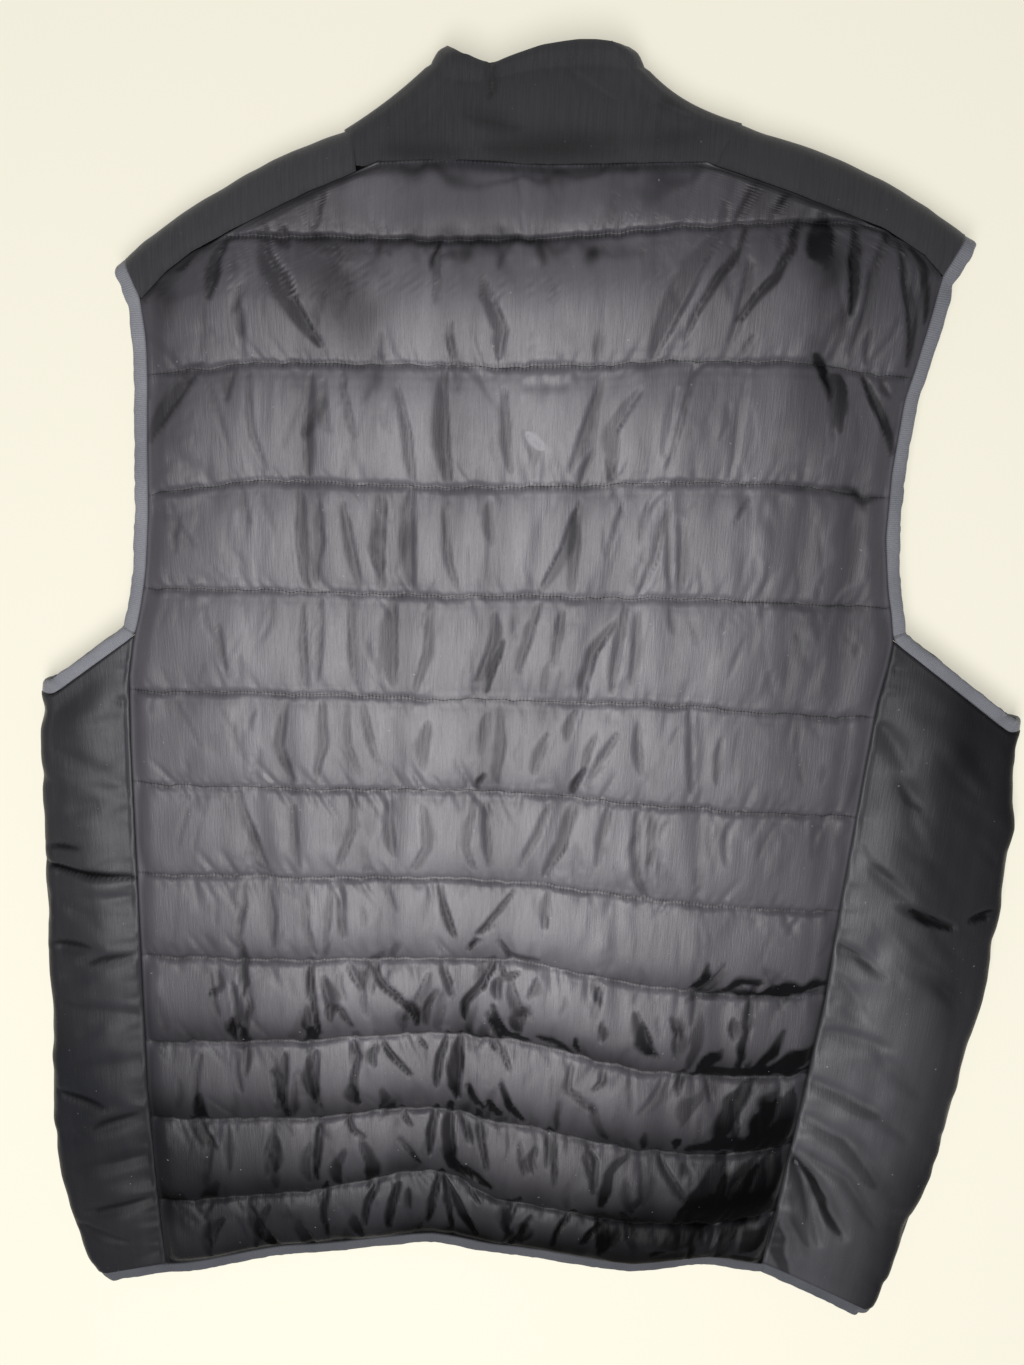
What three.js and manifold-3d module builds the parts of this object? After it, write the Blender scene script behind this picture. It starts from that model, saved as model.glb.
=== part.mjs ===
// A sleeveless quilted vest lying flat, face down, with its back up. Millimetres, +Z up, +Y towards the collar.
import * as THREE from "three";
import { mergeVertices } from "three/addons/utils/BufferGeometryUtils.js";
import Module from "manifold-3d";

const wasm = await Module();
wasm.setup();

// Driving sizes.
const SEAM_GAP = 0.3;
const HEM_SEAM_GAP = 0.5;
const COLLAR_SEAM_GAP = 1.2;
const SIDE_SEAM_GAP = 0.5;
const YOKE_SEAM_GAP = 0.8;
const SEAM_WALL = 4.5;
const SIDE_WALL = 6;
const FRONT_INSIDE = 9;
const BACK_INSIDE = 14;
const BACK_RISE = 4;
const BACK_LOFT = 8;
const GROOVE = 4;
const FOLD_RADIUS = 9.5;
const SIDE_BULGE = 4;
const COLLAR_ROLL = 4;
const EDGE_LIFT = 1.5;
const BINDING = 7.5;
const HEM_BINDING = 8.5;
const ZIP_HALF_GAP = 9;
const TAPE_INNER = 1.2;
const TAPE_OUTER = 8.6;
const TAPE_BOTTOM = 6;
const TAPE_THICK = 1.2;
const TAPE_HEM_Y = -338;
const COLLAR_FRONT_TOP_Y = 310;
const ZIP_LIFT = 4;
const FRONT_ARMHOLE_INSET = 12;

// Rows of named columns.
function table(names, rows) {
  return rows.map((row) => Object.fromEntries(names.map((name, i) => [name, row[i]])));
}

// The back panel's two edges: princess seams, then armholes, then yoke seams up to the neck.
const BACK_EDGES = table(["y", "left", "right"], [
  [-365, -230, 177],
  [-300, -232, 184],
  [-220, -233, 191],
  [-140, -231, 197],
  [-60, -229, 199],
  [20, -227, 202],
  [60, -225, 204],
  [82, -221, 207],
  [96, -217, 208],
  [111, -213.5, 205],
  [126, -211, 201],
  [154, -208, 196],
  [190, -206, 194.5],
  [228, -203.5, 196],
  [248, -203, 200],
  [265, -205, 203],
  [279, -191, 205],
  [290, -176, 207],
  [300, -157, 196],
  [312, -133, 174],
  [320, -116, 148],
  [327, -99, 127],
  [332, -88, 109],
  [338, -75, 87],
  [342, -65, 79],
]);

// Where each row of stitching crosses seven stations of the width; the first row is the neck seam, the last the hem.
const LINE_STATIONS = [-225, -140, -46, 0, 90, 140, 190];
const LINES = [
  [330, 330, 337, 336, 340, 340, 340],
  [298, 298, 299, 301, 310, 314, 312],
  [225, 236, 238, 239, 245, 246, 240],
  [163, 175, 175, 177, 182, 183, 176],
  [112, 115, 115, 117, 118, 118, 116],
  [52, 55, 55, 56, 56, 53, 51],
  [-6, -4, -1, -1, -7, -9, -12],
  [-65, -62, -58, -59, -69, -72, -75],
  [-122, -119, -113, -113, -129, -133, -134],
  [-185, -177, -167, -170, -191, -194, -193],
  [-243, -236, -223, -234, -252, -255, -247],
  [-310, -296, -272, -296, -311, -311, -300],
  [-365, -345, -331, -339, -351, -342, -349],
];

// The largest folds of the back: soft troughs between two points.
const FOLDS = table(["x1", "y1", "x2", "y2", "width", "depth"], [
  [-48, -105, -46, -300, 9, 6],
  [-46, -262, -30, -335, 10, 7],
  [-112, -236, -113, -330, 7, 6],
  [-74, -120, -62, -160, 8, 4],
  [-165, 236, -205, 190, 9, 5],
  [-125, 300, -130, 250, 9, 4],
  [-8, 280, -4, 238, 8, 4],
  [95, 300, 68, 245, 8, 5],
  [120, 312, 90, 245, 8, 6],
  [150, 310, 108, 246, 8, 6],
  [160, 242, 170, 182, 10, 6],
  [184, 240, 196, 190, 8, 5],
  [90, 240, 78, 180, 9, 5],
  [100, 178, 84, 120, 9, 4],
  [60, 175, 45, 118, 9, 4],
  [-110, 178, -108, 118, 8, 4],
  [-60, 115, -70, 57, 8, 4],
  [40, 115, 25, 57, 8, 4],
  [60, 55, 40, 0, 8, 4],
  [-100, 50, -104, 0, 8, 4],
  [40, -4, 22, -60, 8, 4],
  [110, -235, 170, -240, 12, 5],
  [105, -180, 170, -186, 11, 4],
]);

// The side folds.
const SIDE_FOLDS = table(["y", "left", "right"], [
  [-388, -277, 262],
  [-370, -285, 268],
  [-340, -292, 273],
  [-300, -298, 279],
  [-260, -299, 286],
  [-220, -297, 291],
  [-180, -294, 294],
  [-140, -291, 296],
  [-100, -290, 299],
  [-60, -287, 298],
  [-20, -283, 297],
  [20, -282, 291],
  [60, -277, 291],
]);

// Upper and lower edges of the side panels, from the seam (0) to the fold (1).
const SIDE_ENDS = table(["share", "leftTop", "rightTop", "leftHem", "rightHem"], [
  [0, 84, 96, -365, -346],
  [0.2, 73, 75, -366, -353],
  [0.4, 62, 61, -368, -364],
  [0.6, 54.5, 51, -371, -374],
  [0.8, 48, 45, -375, -382],
  [1, 43, 42, -378, -386],
]);

// Shoulder yokes from the neck to the tip: seam with the back, fold, seam with the front.
const YOKES = {
  left: table(["seamY", "foldX", "foldY", "frontX", "frontY"], [
    [330, -95, 350, -97, 290],
    [323.5, -113, 344, -107, 285],
    [316, -133, 336, -123, 276],
    [307.5, -152, 326, -141, 266],
    [298.5, -171, 315, -157, 257],
    [288.5, -188, 304, -171, 249],
    [278, -202, 295, -187, 238],
    [266, -213, 285.5, -202, 229],
  ]),
  right: table(["seamY", "foldX", "foldY", "frontX", "frontY"], [
    [338, 95, 359, 98, 290],
    [333, 113, 354, 108, 285],
    [328, 132, 349, 124, 276],
    [322, 151, 343, 142, 266],
    [316, 171, 335, 158, 257],
    [309, 190, 326, 172, 249],
    [302, 205, 318, 187, 238],
    [290.5, 217, 311, 195, 229],
  ]),
};

// The front neckline, from the zip out to the yoke.
const NECKLINE = table(["x", "y"], [
  [9, 238],
  [36, 243],
  [53, 249],
  [66, 257],
  [77, 266],
  [86, 276],
  [91.5, 285],
]);

// The collar's top edge across the back: a peak, a notch and a long rise.
const COLLAR_TOP = table(["share", "x", "y"], [
  [0, -37.5, 384.5],
  [0.1, -33, 383.5],
  [0.2, -27, 381],
  [0.32, -18, 384],
  [0.5, -3, 388.5],
  [0.7, 17, 391.5],
  [0.85, 25, 392.5],
  [1, 30, 391],
]);

// The collar's top edge across the front, from the zip to the fold.
const COLLAR_FRONT_TOP = table(["share", "x", "y"], [
  [0, 9, 310],
  [0.25, 18, 317],
  [0.5, 27, 331],
  [0.75, 33, 350],
  [1, 36, 368],
]);

function lerp(a, b, t) {
  return a + (b - a) * t;
}

function clamp01(t) {
  return Math.min(1, Math.max(0, t));
}

function ease(t) {
  const c = clamp01(t);
  return c * c * (3 - 2 * c);
}

// Straight-line reading of a table between its rows.
function read(rows, from, to, at) {
  const up = rows[rows.length - 1][from] > rows[0][from];
  const sorted = up ? rows : [...rows].reverse();
  if (at <= sorted[0][from]) {
    return sorted[0][to];
  }
  for (let i = 1; i < sorted.length; i++) {
    if (at <= sorted[i][from]) {
      const t = (at - sorted[i - 1][from]) / (sorted[i][from] - sorted[i - 1][from]);
      return lerp(sorted[i - 1][to], sorted[i][to], t);
    }
  }
  return sorted[sorted.length - 1][to];
}

// Height of one row of stitching at a place across the width, eased between the stations.
function lineY(line, x) {
  const values = LINES[line];
  if (x <= LINE_STATIONS[0]) {
    return values[0];
  }
  for (let i = 1; i < LINE_STATIONS.length; i++) {
    if (x <= LINE_STATIONS[i]) {
      const t = (x - LINE_STATIONS[i - 1]) / (LINE_STATIONS[i] - LINE_STATIONS[i - 1]);
      return lerp(values[i - 1], values[i], t * 0.5 + ease(t) * 0.5);
    }
  }
  return values[values.length - 1];
}

// Height of any row: whole numbers are rows of stitching, fractions lie inside a channel.
function rowY(row, x) {
  const line = Math.min(11, Math.floor(row));
  return lerp(lineY(line, x), lineY(line + 1, x), row - line);
}

// The place where a row meets an edge given as x over y.
function meetEdge(row, edge, guess) {
  let x = guess;
  for (let i = 0; i < 24; i++) {
    x = lerp(x, edge(rowY(row, x)), 0.6);
  }
  return x;
}

function distanceToFold(fold, x, y) {
  const dx = fold.x2 - fold.x1;
  const dy = fold.y2 - fold.y1;
  const t = clamp01(((x - fold.x1) * dx + (y - fold.y1) * dy) / (dx * dx + dy * dy));
  return Math.hypot(x - fold.x1 - t * dx, y - fold.y1 - t * dy);
}

// Two closed skins become one geometry whose faces point outwards.
function solid(points, faces) {
  let volume = 0;
  for (const [a, b, c] of faces) {
    const [p, q, r] = [points[a], points[b], points[c]];
    volume += p[0] * (q[1] * r[2] - q[2] * r[1]);
    volume += p[1] * (q[2] * r[0] - q[0] * r[2]);
    volume += p[2] * (q[0] * r[1] - q[1] * r[0]);
  }
  const ordered = volume < 0 ? faces.map(([a, b, c]) => [a, c, b]) : faces;
  const geometry = new THREE.BufferGeometry();
  geometry.setAttribute("position", new THREE.Float32BufferAttribute(points.flat(), 3));
  geometry.setIndex(ordered.flat());
  geometry.computeVertexNormals();
  return geometry;
}

// Triangles between two runs of points that start and end side by side.
function stitch(faces, one, two) {
  let i = 0;
  let j = 0;
  while (i < one.length - 1 || j < two.length - 1) {
    const nextOne = (i + 1) / (one.length - 1);
    const nextTwo = (j + 1) / (two.length - 1);
    if (j === two.length - 1 || (i < one.length - 1 && nextOne <= nextTwo)) {
      faces.push([one[i], one[i + 1], two[j]]);
      i += 1;
    } else {
      faces.push([one[i], two[j + 1], two[j]]);
      j += 1;
    }
  }
}

// A wall of cloth: an outer and an inner skin with the same number of rows, closed along its four edges.
function wall(outer, inner) {
  const points = [];
  const number = (rows) => rows.map((row) => row.map((point) => points.push(point) - 1));
  const out = number(outer);
  const ins = number(inner);
  const faces = [];
  for (let r = 0; r < out.length - 1; r++) {
    for (let c = 0; c < out[r].length - 1; c++) {
      faces.push([out[r][c], out[r][c + 1], out[r + 1][c]]);
      faces.push([out[r][c + 1], out[r + 1][c + 1], out[r + 1][c]]);
    }
    const band = [];
    stitch(band, ins[r], ins[r + 1]);
    faces.push(...band.map(([a, b, c]) => [a, c, b]));
    const o = out[r].length - 1;
    const n = ins[r].length - 1;
    const m = ins[r + 1].length - 1;
    faces.push([out[r][0], out[r + 1][0], ins[r][0]]);
    faces.push([ins[r][0], out[r + 1][0], ins[r + 1][0]]);
    faces.push([out[r][o], ins[r][n], out[r + 1][o]]);
    faces.push([ins[r][n], ins[r + 1][m], out[r + 1][o]]);
  }
  const top = [];
  stitch(top, out[0], ins[0]);
  const bottom = [];
  stitch(bottom, out[out.length - 1], ins[ins.length - 1]);
  faces.push(...top.map(([a, b, c]) => [a, c, b]));
  faces.push(...bottom);
  return solid(points, faces);
}

function subtract(a, b) {
  return [a[0] - b[0], a[1] - b[1], a[2] - b[2]];
}

function cross(a, b) {
  return [a[1] * b[2] - a[2] * b[1], a[2] * b[0] - a[0] * b[2], a[0] * b[1] - a[1] * b[0]];
}

function unit(a) {
  const length = Math.hypot(a[0], a[1], a[2]) || 1;
  return [a[0] / length, a[1] / length, a[2] / length];
}

function shift(a, direction, amount) {
  return [a[0] + direction[0] * amount, a[1] + direction[1] * amount, a[2] + direction[2] * amount];
}

// The inner skin of a wall, each point moved in from the outer skin. The first point of the middle row faces facing.
function inside(outer, facing, thickness) {
  const normal = (r, c) => {
    const row = outer[r];
    const across = subtract(row[Math.min(row.length - 1, c + 1)], row[Math.max(0, c - 1)]);
    const down = subtract(outer[Math.min(outer.length - 1, r + 1)][c], outer[Math.max(0, r - 1)][c]);
    return unit(cross(across, down));
  };
  const sign = Math.sign(normal(Math.floor(outer.length / 2), 0)[2]) * facing;
  return outer.map((row, r) => row.map((point, c) => shift(point, normal(r, c), -sign * thickness(r, c))));
}

// A folded-over row: along the upper layer from its seam, round the fold, back under to the lower seam.
function foldedRow(upper, lower, direction, seamZ, bulge, steps, baseZ) {
  const row = [];
  for (let i = 0; i <= steps; i++) {
    const t = i / steps;
    const [x, y] = upper(t);
    row.push([x, y, lerp(seamZ, 2 * FOLD_RADIUS, t) + bulge * Math.sin(Math.PI * t)]);
  }
  const [cx, cy] = upper(1);
  const radius = FOLD_RADIUS - baseZ / 2;
  for (let i = 1; i <= 5; i++) {
    const angle = Math.PI / 2 - (Math.PI * i) / 6;
    const reach = FOLD_RADIUS * Math.cos(angle);
    const z = baseZ + radius + radius * Math.sin(angle);
    row.push([cx + direction[0] * reach, cy + direction[1] * reach, z]);
  }
  for (let i = steps; i >= 0; i--) {
    const t = i / steps;
    const [x, y] = lower(t);
    row.push([x, y, i === 0 ? EDGE_LIFT : baseZ]);
  }
  return row;
}

// The quilted back.
const backRows = [];
for (let line = 0; line < 12; line++) {
  for (const share of [0, 0.16, 0.5, 0.84]) {
    backRows.push(line + share);
  }
}
backRows.push(12);

const BACK_COLUMNS = 32;
const BACK_INNER_COLUMNS = [0, 3, 10, 22, 29, 32];
const backLeft = (y) => read(BACK_EDGES, "y", "left", y);
const backRight = (y) => read(BACK_EDGES, "y", "right", y);

function backInsideZ(share, row) {
  const across = ease(Math.min(share, 1 - share) / 0.3);
  const along = ease(Math.min(row, 12 - row) / 2);
  return BACK_INSIDE + BACK_RISE * across * along;
}

function backOutsideZ(x, y, share, row, width) {
  const edge = ease((Math.min(share, 1 - share) * width) / 20);
  const inChannel = row - Math.floor(row);
  const crown = row >= 12 ? 0 : Math.pow(Math.sin(Math.PI * inChannel), 0.45);
  let loft = BACK_LOFT;
  for (const fold of FOLDS) {
    loft -= fold.depth * Math.exp(-Math.pow(distanceToFold(fold, x, y) / fold.width, 2));
  }
  return backInsideZ(share, row) + SEAM_WALL + edge * crown * Math.max(loft, 0.5);
}

const backOuter = [];
const backInner = [];
for (const row of backRows) {
  const left = meetEdge(row, backLeft, -200);
  const right = meetEdge(row, backRight, 190);
  const outerRow = [];
  for (let c = 0; c <= BACK_COLUMNS; c++) {
    const share = c / BACK_COLUMNS;
    const x = lerp(left, right, share);
    const y = rowY(row, x);
    outerRow.push([x, y, backOutsideZ(x, y, share, row, right - left)]);
  }
  backOuter.push(outerRow);
  const isEnd = row === 0 || row === 12;
  const innerColumns = isEnd ? outerRow.map((point, c) => c) : BACK_INNER_COLUMNS;
  backInner.push(innerColumns.map((c) => {
    const [x, y] = outerRow[c];
    return [x, y, backInsideZ(c / BACK_COLUMNS, row)];
  }));
}

// Side panels.
const SIDE_ROWS = 20;
const SIDE_STEPS = 4;

function sidePanel(side) {
  const sign = side === "left" ? -1 : 1;
  const outer = [];
  for (let r = 0; r <= SIDE_ROWS; r++) {
    const s = r / SIDE_ROWS;
    const heightAt = (share) => {
      const top = read(SIDE_ENDS, "share", side + "Top", share);
      const hem = read(SIDE_ENDS, "share", side + "Hem", share);
      return lerp(top, hem, s);
    };
    const seamY = heightAt(0);
    const seamX = read(BACK_EDGES, "y", side, seamY) + sign * SIDE_SEAM_GAP;
    const foldX = read(SIDE_FOLDS, "y", side, heightAt(1));
    const tangentShare = 1 - FOLD_RADIUS / Math.abs(foldX - seamX);
    const plan = (t) => [lerp(seamX, foldX, t * tangentShare), heightAt(t * tangentShare)];
    const ends = ease(Math.min(s, 1 - s) / 0.08);
    const baseZ = EDGE_LIFT * (1 - ends);
    outer.push(foldedRow(plan, plan, [sign, 0], BACK_INSIDE + SEAM_WALL, SIDE_BULGE * ends, SIDE_STEPS, baseZ));
  }
  const last = outer[0].length - 1;
  const inner = inside(outer, 1, (r, c) => {
    const ends = ease(Math.min(r, SIDE_ROWS - r) / 2) * ease(Math.min(c, last - c) / 2);
    return lerp(SEAM_WALL, SIDE_WALL, ends);
  });
  return { outer, inner };
}

// Shoulder yokes.
function yoke(side) {
  const outer = YOKES[side].map((row, k) => {
    const seam = [read(BACK_EDGES, "y", side, row.seamY), row.seamY];
    const fold = [row.foldX, row.foldY];
    const length = Math.hypot(fold[0] - seam[0], fold[1] - seam[1]);
    const direction = [(fold[0] - seam[0]) / length, (fold[1] - seam[1]) / length];
    const start = [seam[0] + direction[0] * YOKE_SEAM_GAP, seam[1] + direction[1] * YOKE_SEAM_GAP];
    const tangent = [fold[0] - direction[0] * FOLD_RADIUS, fold[1] - direction[1] * FOLD_RADIUS];
    const frontLength = Math.hypot(tangent[0] - row.frontX, tangent[1] - row.frontY);
    const gap = YOKE_SEAM_GAP / frontLength;
    const upper = (t) => [lerp(start[0], tangent[0], t), lerp(start[1], tangent[1], t)];
    const lower = (t) => {
      const at = lerp(gap, 1, t);
      return [lerp(row.frontX, tangent[0], at), lerp(row.frontY, tangent[1], at)];
    };
    const baseZ = k === 0 || k === YOKES[side].length - 1 ? EDGE_LIFT : 0;
    return foldedRow(upper, lower, direction, BACK_INSIDE + SEAM_WALL, 1, 3, baseZ);
  });
  const inner = inside(outer, 1, () => SEAM_WALL);
  return { outer, inner };
}

// Quilted fronts, seen from inside: their outer faces lie on the surface.
const FRONT_TOP_ROWS = [205, 229, 238, 243, 249, 257, 266, 276, 285];

function frontPanel(side) {
  const sign = side === "left" ? -1 : 1;
  const tip = YOKES[side][YOKES[side].length - 1];
  const outerEdge = (y) => {
    if (y >= tip.frontY) {
      return read(YOKES[side], "frontY", "frontX", y);
    }
    const inset = y > 96 ? FRONT_ARMHOLE_INSET * Math.sin((Math.PI * (y - 96)) / (tip.frontY - 96)) : 0;
    return read(BACK_EDGES, "y", side, y) - sign * inset;
  };
  const innerEdge = (y) => {
    if (y <= NECKLINE[0].y) {
      return sign * ZIP_HALF_GAP;
    }
    return sign * (read(NECKLINE, "y", "x", y) + SEAM_GAP);
  };
  const levels = [];
  for (let line = 12; line > 3; line--) {
    levels.push({ row: line, groove: line === 12 ? 0 : 1 });
    levels.push({ row: line - 0.14, groove: 0 });
    levels.push({ row: line - 0.86, groove: 0 });
  }
  levels.push({ row: 3, groove: 1 });
  for (const y of FRONT_TOP_ROWS) {
    levels.push({ y, groove: 0 });
  }
  const outer = [];
  const inner = [];
  for (const level of levels) {
    const heightAt = (x) => (level.y === undefined ? rowY(level.row, x) : level.y);
    const a = level.y === undefined ? meetEdge(level.row, outerEdge, sign * 200) : outerEdge(level.y);
    const b = innerEdge(heightAt(sign * 40));
    const width = Math.abs(b - a);
    const nearSeam = Math.min(0.3, 12 / width);
    const nearZip = 1 - Math.min(0.3, 14 / width);
    const zip = heightAt(sign * 40) <= 240 ? ZIP_LIFT : EDGE_LIFT;
    const isEnd = level === levels[0] || level === levels[levels.length - 1];
    const bottom = isEnd ? EDGE_LIFT : level.groove * GROOVE;
    const columns = [
      { share: 0, z: EDGE_LIFT },
      { share: nearSeam, z: bottom },
      { share: lerp(nearSeam, nearZip, 0.5), z: bottom },
      { share: nearZip, z: bottom },
      { share: 1, z: zip },
    ];
    const place = (share) => {
      const x = lerp(a, b, share);
      return [x, heightAt(x)];
    };
    outer.push(columns.map((column) => [...place(column.share), column.z]));
    const mid = isEnd ? EDGE_LIFT + SEAM_WALL : FRONT_INSIDE;
    const insideZ = [EDGE_LIFT + SEAM_WALL, mid, mid, mid, zip + SEAM_WALL];
    inner.push(columns.map((column, c) => [...place(column.share), insideZ[c]]));
  }
  return { outer, inner };
}

// The collar, a ring from one side of the zip round the neck to the other.
const COLLAR_LEVELS = [0, 0.12, 0.4, 0.75, 1];

function collarRow(level) {
  const row = [];
  const base = {
    left: { x: YOKES.left[0].foldX, y: YOKES.left[0].foldY },
    right: { x: YOKES.right[0].foldX, y: YOKES.right[0].foldY },
  };
  const top = { left: { x: -48.5, y: 388.5 }, right: { x: 42.5, y: 391 } };
  const topLean = { left: [-0.88, 0.47], right: [0.95, 0.3] };
  const lean = { left: -0.2, right: 0.36 };
  const corner = (side) => {
    const sign = side === "left" ? -1 : 1;
    const inset = sign * -COLLAR_SEAM_GAP;
    const at = [lerp(base[side].x + inset, top[side].x, level), lerp(base[side].y, top[side].y, level)];
    const direction = unit([lerp(lean[side], topLean[side][0], level), lerp(0.95, topLean[side][1], level), 0]);
    return { at, direction, centre: [at[0] - direction[0] * FOLD_RADIUS, at[1] - direction[1] * FOLD_RADIUS] };
  };
  const lift = ease(level / 0.12);
  const frontHalf = (side) => {
    const sign = side === "left" ? -1 : 1;
    const points = [];
    NECKLINE.forEach((at, i) => {
      const share = i / (NECKLINE.length - 1);
      const x = lerp(at.x, read(COLLAR_FRONT_TOP, "share", "x", share), level);
      const y = lerp(at.y + SEAM_GAP, read(COLLAR_FRONT_TOP, "share", "y", share), level);
      points.push([sign * x, y, i === 0 ? ZIP_LIFT : lerp(EDGE_LIFT, 0, lift)]);
    });
    const end = corner(side).centre;
    const beside = end[0] + sign * lerp(1.6, -1.5, level);
    points.push([beside, end[1] - lerp(38, 8, level), lerp(EDGE_LIFT, 0, lift)]);
    return points;
  };
  const arc = (side) => {
    const { direction, centre } = corner(side);
    const points = [];
    const baseZ = lerp(EDGE_LIFT, 0, lift);
    const radius = FOLD_RADIUS - baseZ / 2;
    for (let i = 0; i <= 6; i++) {
      const angle = -Math.PI / 2 + (Math.PI * i) / 6;
      const reach = FOLD_RADIUS * Math.cos(angle);
      const z = baseZ + radius + radius * Math.sin(angle);
      points.push([centre[0] + direction[0] * reach, centre[1] + direction[1] * reach, z]);
    }
    return points;
  };
  row.push(...frontHalf("left"));
  row.push(...arc("left"));
  const seamLeft = -91;
  const seamRight = 86;
  const steps = 14;
  for (let i = 0; i <= steps; i++) {
    const share = i / steps;
    const x = lerp(seamLeft, seamRight, share);
    const baseY = lineY(0, x) + SEAM_GAP + (i === steps ? 0.6 : 0) + (i === 0 ? 0.6 : 0);
    const at = [
      lerp(x, read(COLLAR_TOP, "share", "x", share), level),
      lerp(baseY, read(COLLAR_TOP, "share", "y", share), level),
    ];
    const roll = COLLAR_ROLL * Math.sin(Math.PI * Math.min(1, level * 1.25)) * Math.sin(Math.PI * share);
    const crease = 2 * ease(level / 0.6) * Math.exp(-Math.pow((share - 0.2) / 0.06, 2));
    row.push([at[0], at[1], BACK_INSIDE + SEAM_WALL + roll - crease]);
  }
  row.push(...arc("right").reverse());
  row.push(...frontHalf("right").reverse());
  return row;
}

// A binding that continues a run of wall edges by its own width. Each station holds an outer and an inner point.
function binding(run, width, gap, closed, towards) {
  const middle = run.map(({ out, ins }) => [0, 1, 2].map((k) => (out[k] + ins[k]) / 2));
  const count = run.length;
  const rings = run.map(({ out, ins }, i) => {
    const before = closed ? (i + count - 1) % count : Math.max(0, i - 1);
    const after = closed ? (i + 1) % count : Math.min(count - 1, i + 1);
    const tangent = unit(subtract(middle[after], middle[before]));
    const up = unit(subtract(out, ins));
    return { centre: middle[i], up, across: unit(cross(up, tangent)), half: SEAM_WALL / 2 };
  });
  const first = rings[0].across;
  const sign = Math.sign(first[0] * towards[0] + first[1] * towards[1]);
  const section = [
    [gap, 1],
    [gap + width * 0.75, 1],
    [gap + width, 0.4],
    [gap + width, -0.4],
    [gap + width * 0.75, -1],
    [gap, -1],
  ];
  const points = [];
  for (const { centre, up, across, half } of rings) {
    for (const [reach, side] of section) {
      points.push(shift(shift(centre, across, sign * reach), up, side * half));
    }
  }
  const n = section.length;
  const faces = [];
  const spans = closed ? count : count - 1;
  for (let i = 0; i < spans; i++) {
    for (let k = 0; k < n; k++) {
      const a = i * n + k;
      const b = i * n + ((k + 1) % n);
      const c = ((i + 1) % count) * n + k;
      const d = ((i + 1) % count) * n + ((k + 1) % n);
      faces.push([a, b, c]);
      faces.push([b, d, c]);
    }
  }
  if (!closed) {
    for (let k = 1; k < n - 1; k++) {
      faces.push([0, k + 1, k]);
      faces.push([(count - 1) * n, (count - 1) * n + k, (count - 1) * n + k + 1]);
    }
  }
  return solid(points, faces);
}

function columnRun(panel, column, innerColumn, keep) {
  const run = [];
  panel.outer.forEach((row, r) => {
    if (keep(row[column][1])) {
      run.push({ out: row[column], ins: panel.inner[r][innerColumn] });
    }
  });
  return run;
}

function rowRun(panel, r) {
  return panel.outer[r].map((out, c) => ({ out, ins: panel.inner[r][c] }));
}

const back = { outer: backOuter, inner: backInner };
const sides = { left: sidePanel("left"), right: sidePanel("right") };
const yokes = { left: yoke("left"), right: yoke("right") };
const fronts = { left: frontPanel("left"), right: frontPanel("right") };
const collarOuter = COLLAR_LEVELS.map(collarRow);
const collarInner = inside(collarOuter, -1, () => SEAM_WALL);
// The crease below the notch pinches the padding and leaves the lining side flat.
const collarBackStart = NECKLINE.length + 8;
for (const row of collarInner) {
  for (let c = collarBackStart; c < collarBackStart + 15; c++) {
    row[c][2] = Math.max(row[c][2], BACK_INSIDE);
  }
}
const collar = { outer: collarOuter, inner: collarInner };

function armholeRun(side) {
  const sign = side === "left" ? -1 : 1;
  const seamTop = read(SIDE_ENDS, "share", side + "Top", 0);
  const yokeRow = YOKES[side].length - 1;
  const seamY = YOKES[side][yokeRow].seamY;
  const backColumn = side === "left" ? 0 : BACK_COLUMNS;
  const backInnerColumn = side === "left" ? 0 : BACK_INNER_COLUMNS.length - 1;
  const up = columnRun(back, backColumn, backInnerColumn, (y) => y > seamTop + 2 && y < seamY - 2).reverse();
  const over = rowRun(yokes[side], yokeRow);
  const down = columnRun(fronts[side], 0, 0, (y) => y > seamTop + 2 && y < 227).reverse();
  const under = rowRun(sides[side], 0).reverse();
  return { run: [...up, ...over, ...down, ...under], towards: [sign, 0] };
}

function lastOf(rows) {
  return rows[rows.length - 1];
}

function frontHemRun(side) {
  return rowRun(fronts[side], 0);
}

function backHemRun() {
  const outer = lastOf(back.outer);
  return outer.map((out) => ({ out, ins: [out[0], out[1], out[2] - SEAM_WALL] }));
}

const hemRun = [
  ...frontHemRun("left").reverse(),
  ...rowRun(sides.left, SIDE_ROWS).reverse(),
  ...backHemRun(),
  ...rowRun(sides.right, SIDE_ROWS),
  ...frontHemRun("right"),
];

// Closed solids joined into one.
function asSolid(geometry) {
  const bare = geometry.clone();
  bare.deleteAttribute("normal");
  bare.deleteAttribute("uv");
  const merged = mergeVertices(bare, 1e-4);
  const mesh = new wasm.Mesh({
    numProp: 3,
    vertProperties: new Float32Array(merged.attributes.position.array),
    triVerts: new Uint32Array(merged.index.array),
  });
  return new wasm.Manifold(mesh);
}

function joined(geometries) {
  const whole = geometries.map(asSolid).reduce((sum, part) => sum.add(part));
  const mesh = whole.getMesh();
  const geometry = new THREE.BufferGeometry();
  geometry.setAttribute("position", new THREE.BufferAttribute(new Float32Array(mesh.vertProperties), 3));
  geometry.setIndex(new THREE.BufferAttribute(new Uint32Array(mesh.triVerts), 1));
  geometry.computeVertexNormals();
  return geometry;
}

function block(width, length, height, x, y, z) {
  const geometry = new THREE.BoxGeometry(width, length, height);
  geometry.translate(x, y, z);
  return geometry;
}

// Zip tapes lie between the fronts and run up through the collar.
function tape(sign) {
  const width = TAPE_OUTER - TAPE_INNER;
  const length = COLLAR_FRONT_TOP_Y - TAPE_HEM_Y;
  const x = (sign * (TAPE_OUTER + TAPE_INNER)) / 2;
  return block(width, length, TAPE_THICK, x, (COLLAR_FRONT_TOP_Y + TAPE_HEM_Y) / 2, TAPE_BOTTOM + TAPE_THICK / 2);
}

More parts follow.
